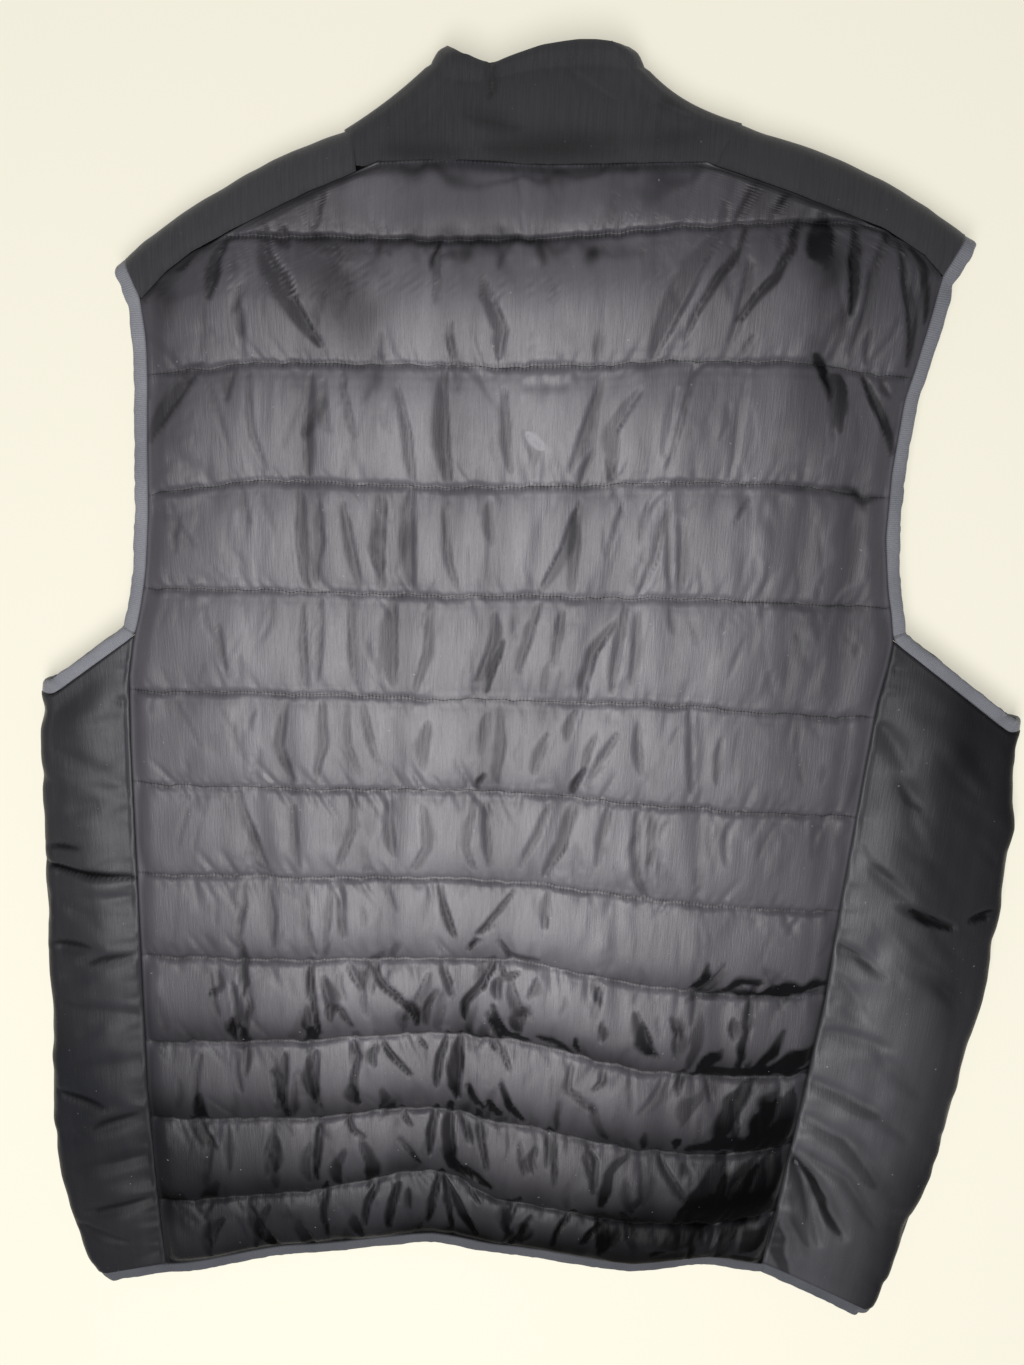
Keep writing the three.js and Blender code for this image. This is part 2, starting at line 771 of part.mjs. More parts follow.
// Slider: two plates and the neck between them, with two ears and a pin below.
const SLIDER_Y = 298;
const PIN_Y = 296;
const PIN_Z = 2.4;
const PIN_RADIUS = 0.6;
const EAR_X = 2.6;
const EAR_WIDTH = 1.2;
const slider = joined([
  block(9, 10, 1.5, 0, SLIDER_Y, TAPE_BOTTOM - 0.3 - 0.75),
  block(9, 10, 1.4, 0, SLIDER_Y, TAPE_BOTTOM + TAPE_THICK + 0.3 + 0.7),
  block(1.6, 3, 4.2, 0, SLIDER_Y + 3, TAPE_BOTTOM + 0.6),
  block(EAR_WIDTH, 2.6, 3.4, -EAR_X, PIN_Y, 3.1),
  block(EAR_WIDTH, 2.6, 3.4, EAR_X, PIN_Y, 3.1),
  new THREE.CylinderGeometry(PIN_RADIUS, PIN_RADIUS, 5.4, 16).rotateZ(Math.PI / 2).translate(0, PIN_Y, PIN_Z),
]);

// Pull tab: a narrow eye round the pin and a wider grip towards the hem.
const TAB_THICK = 1.4;
const tabEye = new THREE.Shape();
tabEye.absarc(0, 0, 1.5, 0, Math.PI * 2);
const eyeHole = new THREE.Path();
eyeHole.absarc(0, 0, PIN_RADIUS + 0.15, 0, Math.PI * 2);
tabEye.holes.push(eyeHole);
const eyeWidth = 3.2;
const eye = new THREE.ExtrudeGeometry(tabEye, { depth: eyeWidth, bevelEnabled: false, curveSegments: 12 });
eye.rotateY(Math.PI / 2);
eye.translate(-eyeWidth / 2, PIN_Y, PIN_Z);
const grip = new THREE.Shape();
grip.moveTo(-1.6, -1.2);
grip.lineTo(1.6, -1.2);
grip.lineTo(1.6, -4);
grip.lineTo(3, -7);
grip.lineTo(3, -28);
grip.lineTo(1.8, -30);
grip.lineTo(-1.8, -30);
grip.lineTo(-3, -28);
grip.lineTo(-3, -7);
grip.lineTo(-1.6, -4);
grip.closePath();
const gripSolid = new THREE.ExtrudeGeometry(grip, { depth: TAB_THICK, bevelEnabled: false });
gripSolid.translate(0, PIN_Y, PIN_Z - TAB_THICK / 2);
const pullTab = joined([eye, gripSolid]);

const SATIN = { color: 0x6f6b78, roughness: 0.45, metalness: 0 };
const SIDE_SATIN = { color: 0x4c4b56, roughness: 0.5, metalness: 0 };
const MATTE = { color: 0x3a3a40, roughness: 0.85, metalness: 0 };
const BINDING_CLOTH = { color: 0x59606c, roughness: 0.75, metalness: 0 };
const ZIP_CLOTH = { color: 0x2c2d33, roughness: 0.8, metalness: 0 };
const ZIP_METAL = { color: 0x4a4b50, roughness: 0.4, metalness: 1 };

const vest = new THREE.Group();

function add(name, geometry, look) {
  const mesh = new THREE.Mesh(geometry, new THREE.MeshStandardMaterial(look));
  mesh.name = name;
  vest.add(mesh);
}

add("back_panel", wall(back.outer, back.inner), SATIN);
for (const side of ["left", "right"]) {
  add("side_panel_" + side, wall(sides[side].outer, sides[side].inner), SIDE_SATIN);
  add("front_" + side, wall(fronts[side].outer, fronts[side].inner), SATIN);
  add("shoulder_" + side, wall(yokes[side].outer, yokes[side].inner), MATTE);
  const hole = armholeRun(side);
  add("armhole_binding_" + side, binding(hole.run, BINDING, SEAM_GAP, true, hole.towards), BINDING_CLOTH);
  add("zip_tape_" + side, tape(side === "left" ? -1 : 1), ZIP_CLOTH);
}
add("collar", wall(collar.outer, collar.inner), MATTE);
add("hem_binding", binding(hemRun, HEM_BINDING, HEM_SEAM_GAP, false, [0, -1]), BINDING_CLOTH);
add("zip_slider", slider, ZIP_METAL);
add("pull_tab", pullTab, ZIP_METAL);

export default vest;
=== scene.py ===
import math

import bpy
import numpy as np
from mathutils import Matrix


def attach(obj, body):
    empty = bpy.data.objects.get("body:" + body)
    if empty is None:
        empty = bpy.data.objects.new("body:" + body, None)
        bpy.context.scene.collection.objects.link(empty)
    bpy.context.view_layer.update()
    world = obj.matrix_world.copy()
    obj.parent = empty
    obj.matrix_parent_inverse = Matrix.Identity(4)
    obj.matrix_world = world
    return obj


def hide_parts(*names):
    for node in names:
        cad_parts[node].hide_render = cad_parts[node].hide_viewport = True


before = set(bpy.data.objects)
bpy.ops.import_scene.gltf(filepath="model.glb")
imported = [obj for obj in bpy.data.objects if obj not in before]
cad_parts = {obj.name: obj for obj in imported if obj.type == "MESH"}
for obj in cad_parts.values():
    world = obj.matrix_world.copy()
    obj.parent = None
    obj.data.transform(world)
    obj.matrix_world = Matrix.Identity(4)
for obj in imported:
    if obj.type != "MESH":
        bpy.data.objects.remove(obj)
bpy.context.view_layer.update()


# Camera, floor and light
# The vest lies face down on a pale table. The lens looks down from above the collar and tips towards the
# hem, and one large soft window of light hangs over the left of the hem.
MM = 0.001

camera = bpy.data.objects.new("camera", bpy.data.cameras.new("camera"))
camera.data.sensor_width = 36
camera.data.lens = 30.33
camera.data.clip_start = 0.01
tilt = Matrix.Rotation(-0.3185, 4, "X") @ Matrix.Rotation(0.0004, 4, "Y") @ Matrix.Rotation(0.0345, 4, "Z")
camera.matrix_world = Matrix.Translation((-0.00553, 0.2701, 0.64257)) @ tilt
bpy.context.scene.collection.objects.link(camera)
bpy.context.scene.camera = camera

table_material = bpy.data.materials.new("pale_table")
table_material.use_nodes = True
table_shader = table_material.node_tree.nodes["Principled BSDF"]
table_shader.inputs["Base Color"].default_value = (0.5, 0.48, 0.41, 1)
table_shader.inputs["Emission Color"].default_value = (0.91, 0.875, 0.735, 1)
table_shader.inputs["Emission Strength"].default_value = 0.535
table_shader.inputs["Roughness"].default_value = 0.9
table_shader.inputs["Specular IOR Level"].default_value = 0.1
bpy.ops.mesh.primitive_plane_add(size=8, location=(0, 0, -0.0004))
table = bpy.context.object
table.name = "table"
table.data.materials.append(table_material)


def soft_light(name, place, aim, width, length, watts, tint=(1, 1, 1)):
    lamp = bpy.data.lights.new(name, "AREA")
    lamp.shape = "RECTANGLE"
    lamp.size = width
    lamp.size_y = length
    lamp.energy = watts
    lamp.color = tint
    holder = bpy.data.objects.new(name, lamp)
    direction = Matrix.Translation(aim).translation - Matrix.Translation(place).translation
    turn = direction.to_track_quat("-Z", "Y").to_matrix().to_4x4()
    holder.matrix_world = Matrix.Translation(place) @ turn
    bpy.context.scene.collection.objects.link(holder)


soft_light("window", (-0.13, -0.40, 1.42), (-0.13, -0.40, 0), 0.84, 1.45, 22, (1, 0.985, 0.97))
world = bpy.data.worlds.new("room")
world.use_nodes = True
world.node_tree.nodes["Background"].inputs["Color"].default_value = (0.93, 0.96, 1, 1)
world.node_tree.nodes["Background"].inputs["Strength"].default_value = 0.2
bpy.context.scene.world = world
bpy.context.scene.view_settings.view_transform = "Standard"


# Quilted back
# A panel of satin nylon over wadding, sewn through in eleven rows. The rows gather the cloth, so each
# channel is a low flat-topped pillow crossed by sharp, uneven troughs that start at the stitching.
STATIONS = np.array([-225, -140, -46, 0, 90, 140, 190])
LINES = np.array([
    [330, 330, 337, 336, 340, 340, 340],
    [298, 298, 299, 301, 310, 314, 312],
    [225, 236, 238, 239, 245, 246, 240],
    [163, 175, 175, 177, 182, 183, 176],
    [112, 115, 115, 117, 118, 118, 116],
    [52, 55, 55, 56, 56, 53, 51],
    [-6, -4, -1, -1, -7, -9, -12],
    [-65, -62, -58, -59, -69, -72, -75],
    [-122, -119, -113, -113, -129, -133, -134],
    [-185, -177, -167, -170, -191, -194, -193],
    [-243, -236, -223, -234, -252, -255, -247],
    [-310, -296, -272, -296, -311, -311, -300],
    [-365, -345, -331, -339, -351, -342, -349],
])
BACK_EDGES = np.array([
    [-365, -230, 177], [-300, -232, 184], [-220, -233, 191], [-140, -231, 197], [-60, -229, 199],
    [20, -227, 202], [60, -225, 204], [82, -221, 207], [96, -217, 208], [111, -213.5, 205],
    [126, -211, 201], [154, -208, 196], [190, -206, 194.5], [228, -203.5, 196], [248, -203, 200],
    [265, -205, 203], [279, -191, 205], [290, -176, 207], [300, -157, 196], [312, -133, 174],
    [320, -116, 148], [327, -99, 127], [332, -88, 109], [338, -75, 87], [342, -65, 79],
])
SEAM_WALL = 4.5
BACK_INSIDE = 14
BACK_RISE = 4
EDGE_LIFT = 1.5
TICK = 2.0


def ease(t):
    t = np.clip(t, 0, 1)
    return t * t * (3 - 2 * t)


def line_y(line, x):
    station = np.clip(np.searchsorted(STATIONS, x) - 1, 0, len(STATIONS) - 2)
    share = np.clip((x - STATIONS[station]) / (STATIONS[station + 1] - STATIONS[station]), 0, 1)
    before = LINES[line, station]
    after = LINES[line, station + 1]
    return before + (after - before) * (share + ease(share)) / 2


def row_y(row, x):
    line = np.clip(np.floor(row).astype(int), 0, 11)
    within = row - line
    return line_y(line, x) * (1 - within) + line_y(line + 1, x) * within


def edge_x(side, y):
    return np.interp(y, BACK_EDGES[:, 0], BACK_EDGES[:, 1 if side == "left" else 2])


def meet_edge(row, edge, guess):
    x = np.full(np.shape(row), float(guess))
    for _ in range(24):
        x = x + 0.6 * (edge(row_y(row, x)) - x)
    return x


def rumple(x, y, cell, seed):
    """Smooth random height between -1 and 1 whose bumps are about one cell across."""
    chance = np.random.default_rng(seed).uniform(-1, 1, (96, 96))
    u = x / cell + 48
    v = y / cell + 48
    i = np.floor(u).astype(int)
    j = np.floor(v).astype(int)
    a = ease(u - i)
    b = ease(v - j)
    i %= 95
    j %= 95
    near = chance[i, j] * (1 - a) + chance[i + 1, j] * a
    far = chance[i, j + 1] * (1 - a) + chance[i + 1, j + 1] * a
    return near * (1 - b) + far * b


def crease_depth(x, y, width, depth, places, style):
    """Depth of one trough, which narrows at both ends. A sharp one has a wide flat face and a steep one, a
    soft one is round, and a patch is flat with one crisp edge, which catches the light, and one soft edge.
    A negative width turns the faces round."""
    places = np.array(places, float)
    lengths = np.hypot(*np.diff(places, axis=0).T)
    total = lengths.sum()
    best = np.full(x.shape, 1e9)
    signed = np.zeros(x.shape)
    along = np.zeros(x.shape)
    done = 0
    for start, end, length in zip(places[:-1], places[1:], lengths):
        step = (end - start) / length
        t = (x - start[0]) * step[0] + (y - start[1]) * step[1]
        capped = np.clip(t, 0, length)
        across = (x - start[0]) * step[1] - (y - start[1]) * step[0]
        distance = np.hypot(across, t - capped)
        closer = distance < best
        best = np.where(closer, distance, best)
        signed = np.where(closer, np.sign(across) * distance, signed)
        along = np.where(closer, (done + capped) / total, along)
        done += length
    leaf = 0.35 + 0.65 * np.sin(np.pi * np.clip(along, 0, 1)) ** 0.7
    faces = np.where(signed > 0, 0.8, 0.2) if width > 0 else np.where(signed > 0, 0.2, 0.8)
    width = abs(width)
    if style == "soft":
        return depth * leaf * np.exp(-((best / (0.5 * width * (0.4 + 0.6 * leaf))) ** 2))
    reach = np.maximum(width * leaf * faces, 1.4)
    if style == "patch":
        crisp = faces < 0.5
        border = np.where(crisp, 1.4, 1.4 + 0.2 * reach)
        dark = depth * np.clip((reach * 1.15 - best) / border + 0.3, 0, 1) * (0.6 + 0.4 * leaf)
        return dark - 0.14 * crisp * leaf * np.exp(-(((best - 1.15 * reach - 1.8) / 1.1) ** 2))
    fall = np.clip(1 - best / reach, 0, 1)
    rim = np.exp(-(((best - 1.12 * reach) / (0.22 * width)) ** 2)) * (best > reach * 0.85)
    return depth * (0.5 + 0.5 * leaf) * (fall - 0.06 * rim)


def add_creases(x, y, creases, style="sharp"):
    """Sum of all troughs, each worked out only on the points near it."""
    depth = np.zeros(x.shape)
    for width, deep, *places in creases:
        box = np.array(places, float)
        margin = 2 * abs(width) + 2
        near = (x > box[:, 0].min() - margin) & (x < box[:, 0].max() + margin)
        near &= (y > box[:, 1].min() - margin) & (y < box[:, 1].max() + margin)
        if near.any():
            depth[near] += crease_depth(x[near], y[near], width, deep, places, style)
    return depth


# Each trough of the back: width, depth, then the places it runs through.
BACK_CREASES = [
    (4, 2.2, (108, 331), (97, 310)), (3, 2.0, (123, 326), (119, 318)), (3, 1.6, (-108, 322), (-112, 304)),
    (6, 3.6, (-157, 297), (-161, 287), (-164, 275), (-167, 268)), (4, 1.6, (-150, 262), (-151, 238)),
    (10, 3.4, (-138, 302), (-136, 289), (-130, 281), (-124, 270), (-111, 248)),
    (8, 3.6, (-129, 302), (-126, 294)), (5, 1.6, (-152, 273), (-152, 250)),
    (5, 2.2, (-195, 275), (-204, 264)), (4, 1.6, (-50, 297), (-51, 270)), (4, 1.6, (-44, 260), (-42, 242)),
    (8, 2.6, (-27, 281), (-15, 257), (-18, 244)), (4, 1.4, (33, 258), (33, 243)),
    (13, 3.4, (90, 305), (81, 288), (71, 266), (62, 246)),
    (-7, 2.8, (106, 294), (104, 282), (102, 267), (100, 256)),
    (-4, 3.0, (103, 309), (99, 298), (90, 286), (81, 269), (77, 256)), (3, 1.8, (112, 259), (107, 249)),
    (-5, 3.4, (129, 313), (125, 300), (119, 288), (111, 279), (104, 266)),
    (-6, 4.0, (158, 313), (157, 296), (161, 270)),
    (-6, 2.4, (173, 306), (168, 292), (167, 276), (163, 251)), (4, 1.8, (172, 262), (172, 247)),
    (-5, 3.3, (181, 305), (186, 284), (191, 266), (194, 246)), (4, 3.0, (175, 312), (176, 305)),
    (4, 3.0, (188, 303), (196, 296), (199, 284), (200, 268)),
    (9, 3.4, (-173, 234), (-186, 216), (-203, 194)), (5, 2.0, (-154, 236), (-161, 217)),
    (4, 1.8, (-149, 231), (-147, 202), (-141, 181)), (-7, 2.4, (-116, 231), (-120, 202), (-119, 179)),
    (6, 2.0, (-109, 229), (-107, 203)), (4, 1.6, (-100, 233), (-96, 216), (-93, 201)),
    (6, 2.2, (-70, 227), (-64, 204), (-62, 178)), (9, 2.8, (-46, 235), (-45, 205), (-43, 179)),
    (6, 2.0, (-15, 227), (-10, 185)), (-6, 2.2, (35, 234), (28, 213), (21, 186)),
    (4, 1.6, (33, 197), (27, 178)), (8, 2.6, (56, 229), (44, 208), (44, 182)),
    (-4, 2.6, (84, 245), (81, 232), (77, 215), (73, 190)), (8, 2.6, (75, 230), (74, 215), (71, 196)),
    (5, 2.0, (111, 241), (109, 221), (108, 195), (106, 186)), (3, 1.6, (111, 161), (118, 177)),
    (-5, 3.4, (171, 241), (178, 227), (193, 200)), (4, 2.0, (181, 239), (187, 230)),
    (4, 1.4, (-154, 172), (-151, 153)), (-7, 2.4, (-123, 171), (-125, 143), (-121, 116)),
    (6, 2.0, (-113, 171), (-111, 144), (-116, 121)), (6, 2.0, (-100, 166), (-94, 139), (-91, 119)),
    (9, 2.6, (-78, 172), (-79, 119)), (9, 2.6, (-63, 173), (-62, 120)),
    (4, 1.8, (-45, 168), (-42, 135), (-37, 118)), (6, 1.8, (-21, 169), (-19, 147)),
    (-7, 2.4, (25, 165), (19, 145), (8, 120)), (6, 2.0, (28, 170), (26, 120)),
    (4, 1.6, (52, 171), (44, 143)), (4, 1.6, (65, 172), (61, 150)),
    (6, 2.4, (74, 166), (70, 139), (63, 122)), (5, 2.2, (75, 172), (80, 122)),
    (-7, 2.4, (82, 161), (84, 122)), (5, 2.0, (-123, 109), (-122, 59)), (-4, 1.8, (-113, 110), (-116, 63)),
    (4, 1.6, (-96, 110), (-94, 63)), (11, 2.6, (-72, 111), (-72, 64)),
    (-6, 2.2, (-52, 112), (-55, 83), (-61, 59)), (-8, 2.8, (-17, 107), (-18, 90), (-25, 68)),
    (4, 3.0, (-11, 90), (-21, 60)), (6, 2.2, (8, 114), (3, 91), (-3, 73)), (6, 1.8, (21, 109), (18, 79)),
    (4, 1.6, (14, 79), (11, 61)), (7, 3.0, (50, 104), (40, 86), (34, 56)),
    (6, 2.6, (56, 116), (54, 92), (51, 63)), (-6, 2.2, (62, 110), (61, 69)), (4, 1.4, (80, 117), (83, 99)),
    (6, 2.2, (-134, 50), (-137, 25), (-131, 3)), (6, 2.2, (-113, 51), (-111, 26), (-118, 4)),
    (4, 1.8, (-99, 51), (-98, 27), (-92, 8)), (5, 1.8, (-90, 52), (-81, 15)),
    (8, 2.2, (-52, 41), (-55, 13)), (5, 1.6, (-19, 48), (-22, 23)), (4, 3.2, (-20, 10), (-25, -1)),
    (7, 2.2, (-12, 51), (-9, 30), (-13, 5)), (7, 2.0, (17, 37), (9, 12)), (6, 2.0, (32, 53), (27, 34)),
    (4, 2.0, (43, 38), (37, 16)), (4, 3.2, (38, 16), (31, -1)), (6, 2.2, (56, 39), (47, 20), (39, 4)),
    (6, 1.8, (67, 45), (71, 14)), (5, 1.8, (96, 58), (101, 3)), (5, 1.8, (115, 38), (115, 10)),
    (6, 2.2, (-164, -7), (-153, -39), (-147, -59)), (5, 1.8, (-131, -13), (-129, -52)),
    (6, 2.0, (-96, -5), (-94, -24), (-105, -51)), (7, 2.2, (-75, -10), (-72, -43)),
    (-7, 2.2, (-56, -10), (-54, -36), (-62, -52)), (5, 2.0, (-25, -5), (-29, -35), (-24, -51)),
    (6, 2.0, (-18, -8), (-15, -47)), (6, 2.0, (19, -7), (13, -27), (3, -47)),
    (8, 2.4, (34, -6), (29, -32), (18, -53)), (6, 2.0, (54, -6), (49, -45)),
    (6, 2.2, (70, -11), (73, -51), (79, -67)), (-5, 2.0, (78, -5), (79, -50)),
    (5, 1.6, (123, -16), (125, -42)), (4, 1.8, (-163, -66), (-162, -80), (-168, -108)),
    (5, 1.8, (-148, -66), (-144, -86), (-146, -107)), (5, 1.8, (-125, -65), (-124, -92), (-120, -113)),
    (4, 1.6, (-109, -64), (-114, -113)), (6, 2.0, (-103, -64), (-102, -98)),
    (4, 1.6, (-77, -60), (-71, -80)), (5, 3.0, (-45, -62), (-40, -79), (-35, -96)),
    (4, 2.4, (0, -64), (-8, -77), (-20, -92)), (4, 2.0, (-11, -87), (-23, -94)),
    (4, 2.6, (-20, -97), (-27, -105)), (4, 2.2, (-8, -98), (-1, -108), (17, -111)),
    (6, 2.0, (21, -63), (19, -87)), (4, 2.9, (-124, -123), (-121, -141), (-119, -168)),
    (5, 3.4, (-82, -115), (-81, -128), (-70, -137), (-60, -150)),
    (-5, 3.0, (-64, -142), (-60, -150), (-58, -160)), (4, 1.8, (-85, -115), (-91, -132), (-90, -153)),
    (6, 3.2, (-43, -113), (-38, -126), (-35, -138)), (5, 2.6, (-45, -133), (-50, -143), (-52, -160)),
    (5, 3.5, (-10, -115), (-17, -129), (-27, -142), (-29, -154)),
    (4, 2.6, (-7, -115), (-3, -122), (5, -120)), (8, 2.6, (0, -125), (6, -143), (14, -149)),
    (4, 3.0, (-11, -143), (-6, -155), (0, -165), (13, -169)), (-4, 2.4, (19, -165), (39, -177)),
    (4, 2.2, (-113, -146), (-104, -149), (-98, -163)), (3, 2.0, (42, -165), (44, -176)),
    (5, 2.0, (56, -128), (52, -150)), (4, 2.0, (-164, -124), (-160, -150), (-166, -172)),
    (5, 2.0, (-186, -130), (-182, -160)), (4, 2.0, (-126, -182), (-124, -199), (-119, -223)),
    (4, 2.4, (-98, -175), (-94, -185), (-97, -201), (-94, -220)),
    (4, 3.0, (-81, -171), (-72, -183), (-61, -196)), (3, 2.2, (-58, -169), (-52, -177)),
    (5, 3.6, (-38, -166), (-42, -182), (-45, -204)), (9, 4.6, (-30, -169), (-30, -188), (-31, -212)),
    (4, 2.9, (-25, -202), (-16, -219)), (5, 3.4, (-12, -213), (-3, -224)),
    (3, 2.2, (-12, -168), (-7, -177)), (4, 2.2, (-4, -173), (2, -190)),
    (4, 3.0, (-4, -199), (4, -218), (12, -229)), (5, 2.4, (41, -183), (39, -202), (59, -219)),
    (3, 1.6, (34, -213), (32, -236)), (4, 2.4, (-140, -183), (-141, -233)),
    (4, 2.0, (-172, -186), (-170, -214)), (5, 1.8, (-196, -190), (-200, -226)),
    (5, 3.6, (-119, -234), (-120, -254), (-123, -281)), (4, 2.6, (-102, -231), (-98, -240), (-91, -245)),
    (4, 2.6, (-68, -223), (-61, -235)), (4, 2.0, (-68, -244), (-60, -255), (-55, -264)),
    (5, 3.6, (-44, -220), (-47, -238), (-48, -256)),
    (8, 5.0, (-35, -218), (-35, -241), (-32, -263), (-22, -274)),
    (-6, 4.0, (-28, -268), (-19, -275), (-9, -282)), (5, 2.8, (-18, -222), (-14, -249), (-11, -267)),
    (3, 2.0, (33, -242), (33, -277)), (4, 2.4, (52, -245), (60, -257), (60, -279)),
    (4, 1.8, (-150, -244), (-156, -278)), (5, 1.8, (-190, -250), (-196, -290)),
    (4, 1.6, (10, -246), (14, -270)), (4, 3.0, (-116, -283), (-118, -306), (-117, -329)),
    (5, 3.2, (-82, -282), (-88, -297), (-92, -318)), (6, 3.6, (-69, -283), (-72, -300), (-75, -319)),
    (3, 2.0, (-63, -286), (-62, -303)), (5, 3.6, (-41, -271), (-45, -293), (-49, -314)),
    (4, 3.0, (-40, -272), (-36, -291), (-33, -319)), (6, 4.0, (-38, -278), (-27, -300), (-17, -324)),
    (4, 3.0, (-22, -285), (-16, -296)), (4, 2.8, (47, -300), (37, -318), (34, -330)),
    (4, 2.6, (64, -311), (53, -327)), (7, 2.0, (-197, -320), (-197, -350)),
    (6, 1.8, (-156, -306), (-166, -342)),
]


# Wide shallow hollows that run on through several channels: width, depth, places.
BACK_HOLLOWS = [
    (26, 1.8, (-189, 295), (-178, 268)), (34, 2.2, (-112, 292), (-96, 262), (-82, 238)),
    (22, 2.0, (138, 312), (150, 294)), (16, 1.2, (-190, 232), (-196, 186)),
    (20, 1.6, (-120, 240), (-118, 118)), (14, 1.2, (-97, 176), (-93, 60)), (18, 1.4, (-71, 172), (-66, 57)),
    (14, 1.2, (-74, 52), (-73, -56)), (15, 1.3, (-40, 236), (-42, 120)), (13, 1.1, (-15, 172), (-24, 60)),
    (14, 1.2, (12, 166), (-8, 62)), (16, 1.4, (38, 232), (20, 120)), (14, 1.3, (60, 180), (30, 58)),
    (16, 1.4, (84, 176), (82, 58)), (14, 1.2, (103, 52), (110, -60)), (13, 1.1, (68, 50), (76, -120)),
    (14, 1.2, (40, 52), (18, -56)), (18, 1.6, (176, 190), (180, 58)), (16, 1.4, (150, 180), (148, 60)),
    (16, 1.4, (188, 50), (182, -120)), (14, 1.2, (-135, 52), (-132, -58)),
    (15, 1.2, (-155, -6), (-148, -118)), (13, 1.2, (-18, 52), (-12, -58)),
    (16, 1.5, (-78, -60), (-76, -118)), (16, 1.6, (-30, -120), (-26, -230)),
    (14, 1.3, (60, -60), (70, -170)), (18, 1.6, (128, -120), (140, -250)),
    (20, 2.2, (-22, -226), (-28, -290)), (16, 1.6, (100, -190), (98, -300)),
    (44, 1.5, (-108, 299), (-30, 300), (50, 296)),
]


# Places where the satin turns from the light and looks darker: width, share of light lost, places.
BACK_SHADES = [
    (60, 0.2, (-206, 200), (-202, 60), (-198, -60)), (80, 0.26, (172, 235), (170, 60), (166, -60)),
    (76, -0.36, (84, 290), (88, 210), (92, 130)), (9, 0.45, (-112, 296), (-30, 300), (54, 296)),
    (14, 0.45, (-188, 278), (-196, 256)), (6, 0.35, (-126, 317), (-108, 321), (-93, 328), (-60, 332)),
    (36, 0.34, (-110, 292), (-98, 272), (-88, 244)), (16, 0.35, (145, 302), (144, 280)),
    (34, 0.22, (148, 296), (151, 252)), (6, -0.25, (162, 177), (163, 161), (160, 142), (151, 123)),
    (6, -0.25, (185, 152), (182, 138), (175, 124)), (4, -0.25, (156, 207), (155, 196), (152, 187)),
    (4, -0.2, (141, 197), (137, 187)), (5, 0.4, (127, 186), (139, 184), (153, 181)),
    (6, 0.5, (162, 181), (191, 176)), (14, 0.3, (-60, 338), (20, 340), (70, 343)),
    (7, 0.5, (-72, 332), (-51, 331), (-26, 326)), (5, 0.4, (-26, 326), (1, 331), (26, 333), (44, 338)),
    (12, 0.4, (45, 322), (59, 329), (82, 337)), (5, -0.3, (39, 307), (52, 316), (88, 336)),
    (4, -0.25, (55, 313), (70, 321), (87, 328)), (5, 0.5, (-51, 285), (-49, 297)),
    (7, 0.5, (-43, 289), (-37, 296)), (6, 0.5, (-4, 287), (2, 297)), (9, 0.4, (21, 294), (31, 297)),
    (7, 0.45, (-84, 286), (-78, 297)), (6, 0.4, (-22, 288), (-19, 296)),
    (30, 0.3, (-150, 312), (-110, 322)), (34, 0.3, (108, 326), (150, 320)),
    (60, 0.5, (40, -322), (160, -320)), (40, 0.45, (-80, -330), (60, -330)),
    (22, 0.4, (-226, -300), (-210, -330)),
]

# Painted shade on slanting leaves and undersides at the lower right, where the wadding bulges most, and on
# a
# few crisp folds elsewhere: width, share of light lost, places.
PAINTED_SHADE_LEAVES = [
    (6, 0.75, (112, -127), (120, -110)), (-8, 0.75, (133, -128), (144, -124), (156, -120)),
    (-8, 0.8, (155, -131), (176, -129), (196, -127)), (-5, 0.6, (120, -131), (150, -132), (190, -132)),
    (7, 0.5, (112, -185), (114, -164), (117, -143)), (-9, 0.8, (122, -189), (133, -176)),
    (6, 0.75, (151, -149), (148, -164), (146, -183)), (7, 0.8, (172, -154), (169, -171), (156, -187)),
    (-14, 0.8, (168, -188), (183, -182), (194, -176)), (-8, 0.8, (118, -189), (150, -190), (192, -190)),
    (12, 0.45, (125, -206), (118, -214), (114, -226)), (14, 0.8, (157, -198), (148, -216), (138, -243)),
    (12, 0.8, (172, -202), (168, -222), (160, -242)), (26, 0.85, (184, -206), (182, -224), (176, -242)),
    (5, 0.8, (112, -238), (111, -248)), (-14, 0.85, (122, -249), (152, -247), (185, -244)),
    (16, 0.8, (145, -257), (139, -282), (118, -305)), (18, 0.85, (166, -254), (158, -274), (147, -298)),
    (20, 0.85, (181, -250), (176, -276), (166, -296)), (-22, 0.85, (118, -306), (147, -302), (182, -294)),
    (8, 0.75, (79, -253), (70, -268), (65, -295)), (4, 0.7, (52, -248), (59, -279)),
    (6, 0.5, (96, -279), (82, -297)), (7, 0.5, (116, -262), (122, -268)),
    (14, 0.8, (148, -306), (125, -318), (105, -332)), (12, 0.85, (173, -301), (158, -310), (149, -326)),
    (4, 0.7, (85, -305), (74, -322)), (8, 0.75, (88, -305), (89, -320)),
    (14, 0.8, (178, -312), (163, -329)), (26, 0.6, (60, -326), (110, -336), (170, -336)),
    (10, 0.75, (146, 248), (157, 240), (162, 228), (163, 212)),
    (14, 0.85, (143, 316), (146, 304), (146, 295)), (12, 0.65, (-164, 295), (-178, 287), (-190, 280)),
    (9, 0.5, (-113, 303), (-102, 296)), (8, 0.45, (-100, 297), (-86, 291)),
    (6, 0.45, (-74, 297), (-74, 289)), (26, 0.27, (149, 262), (150, 190), (148, 104)),
]


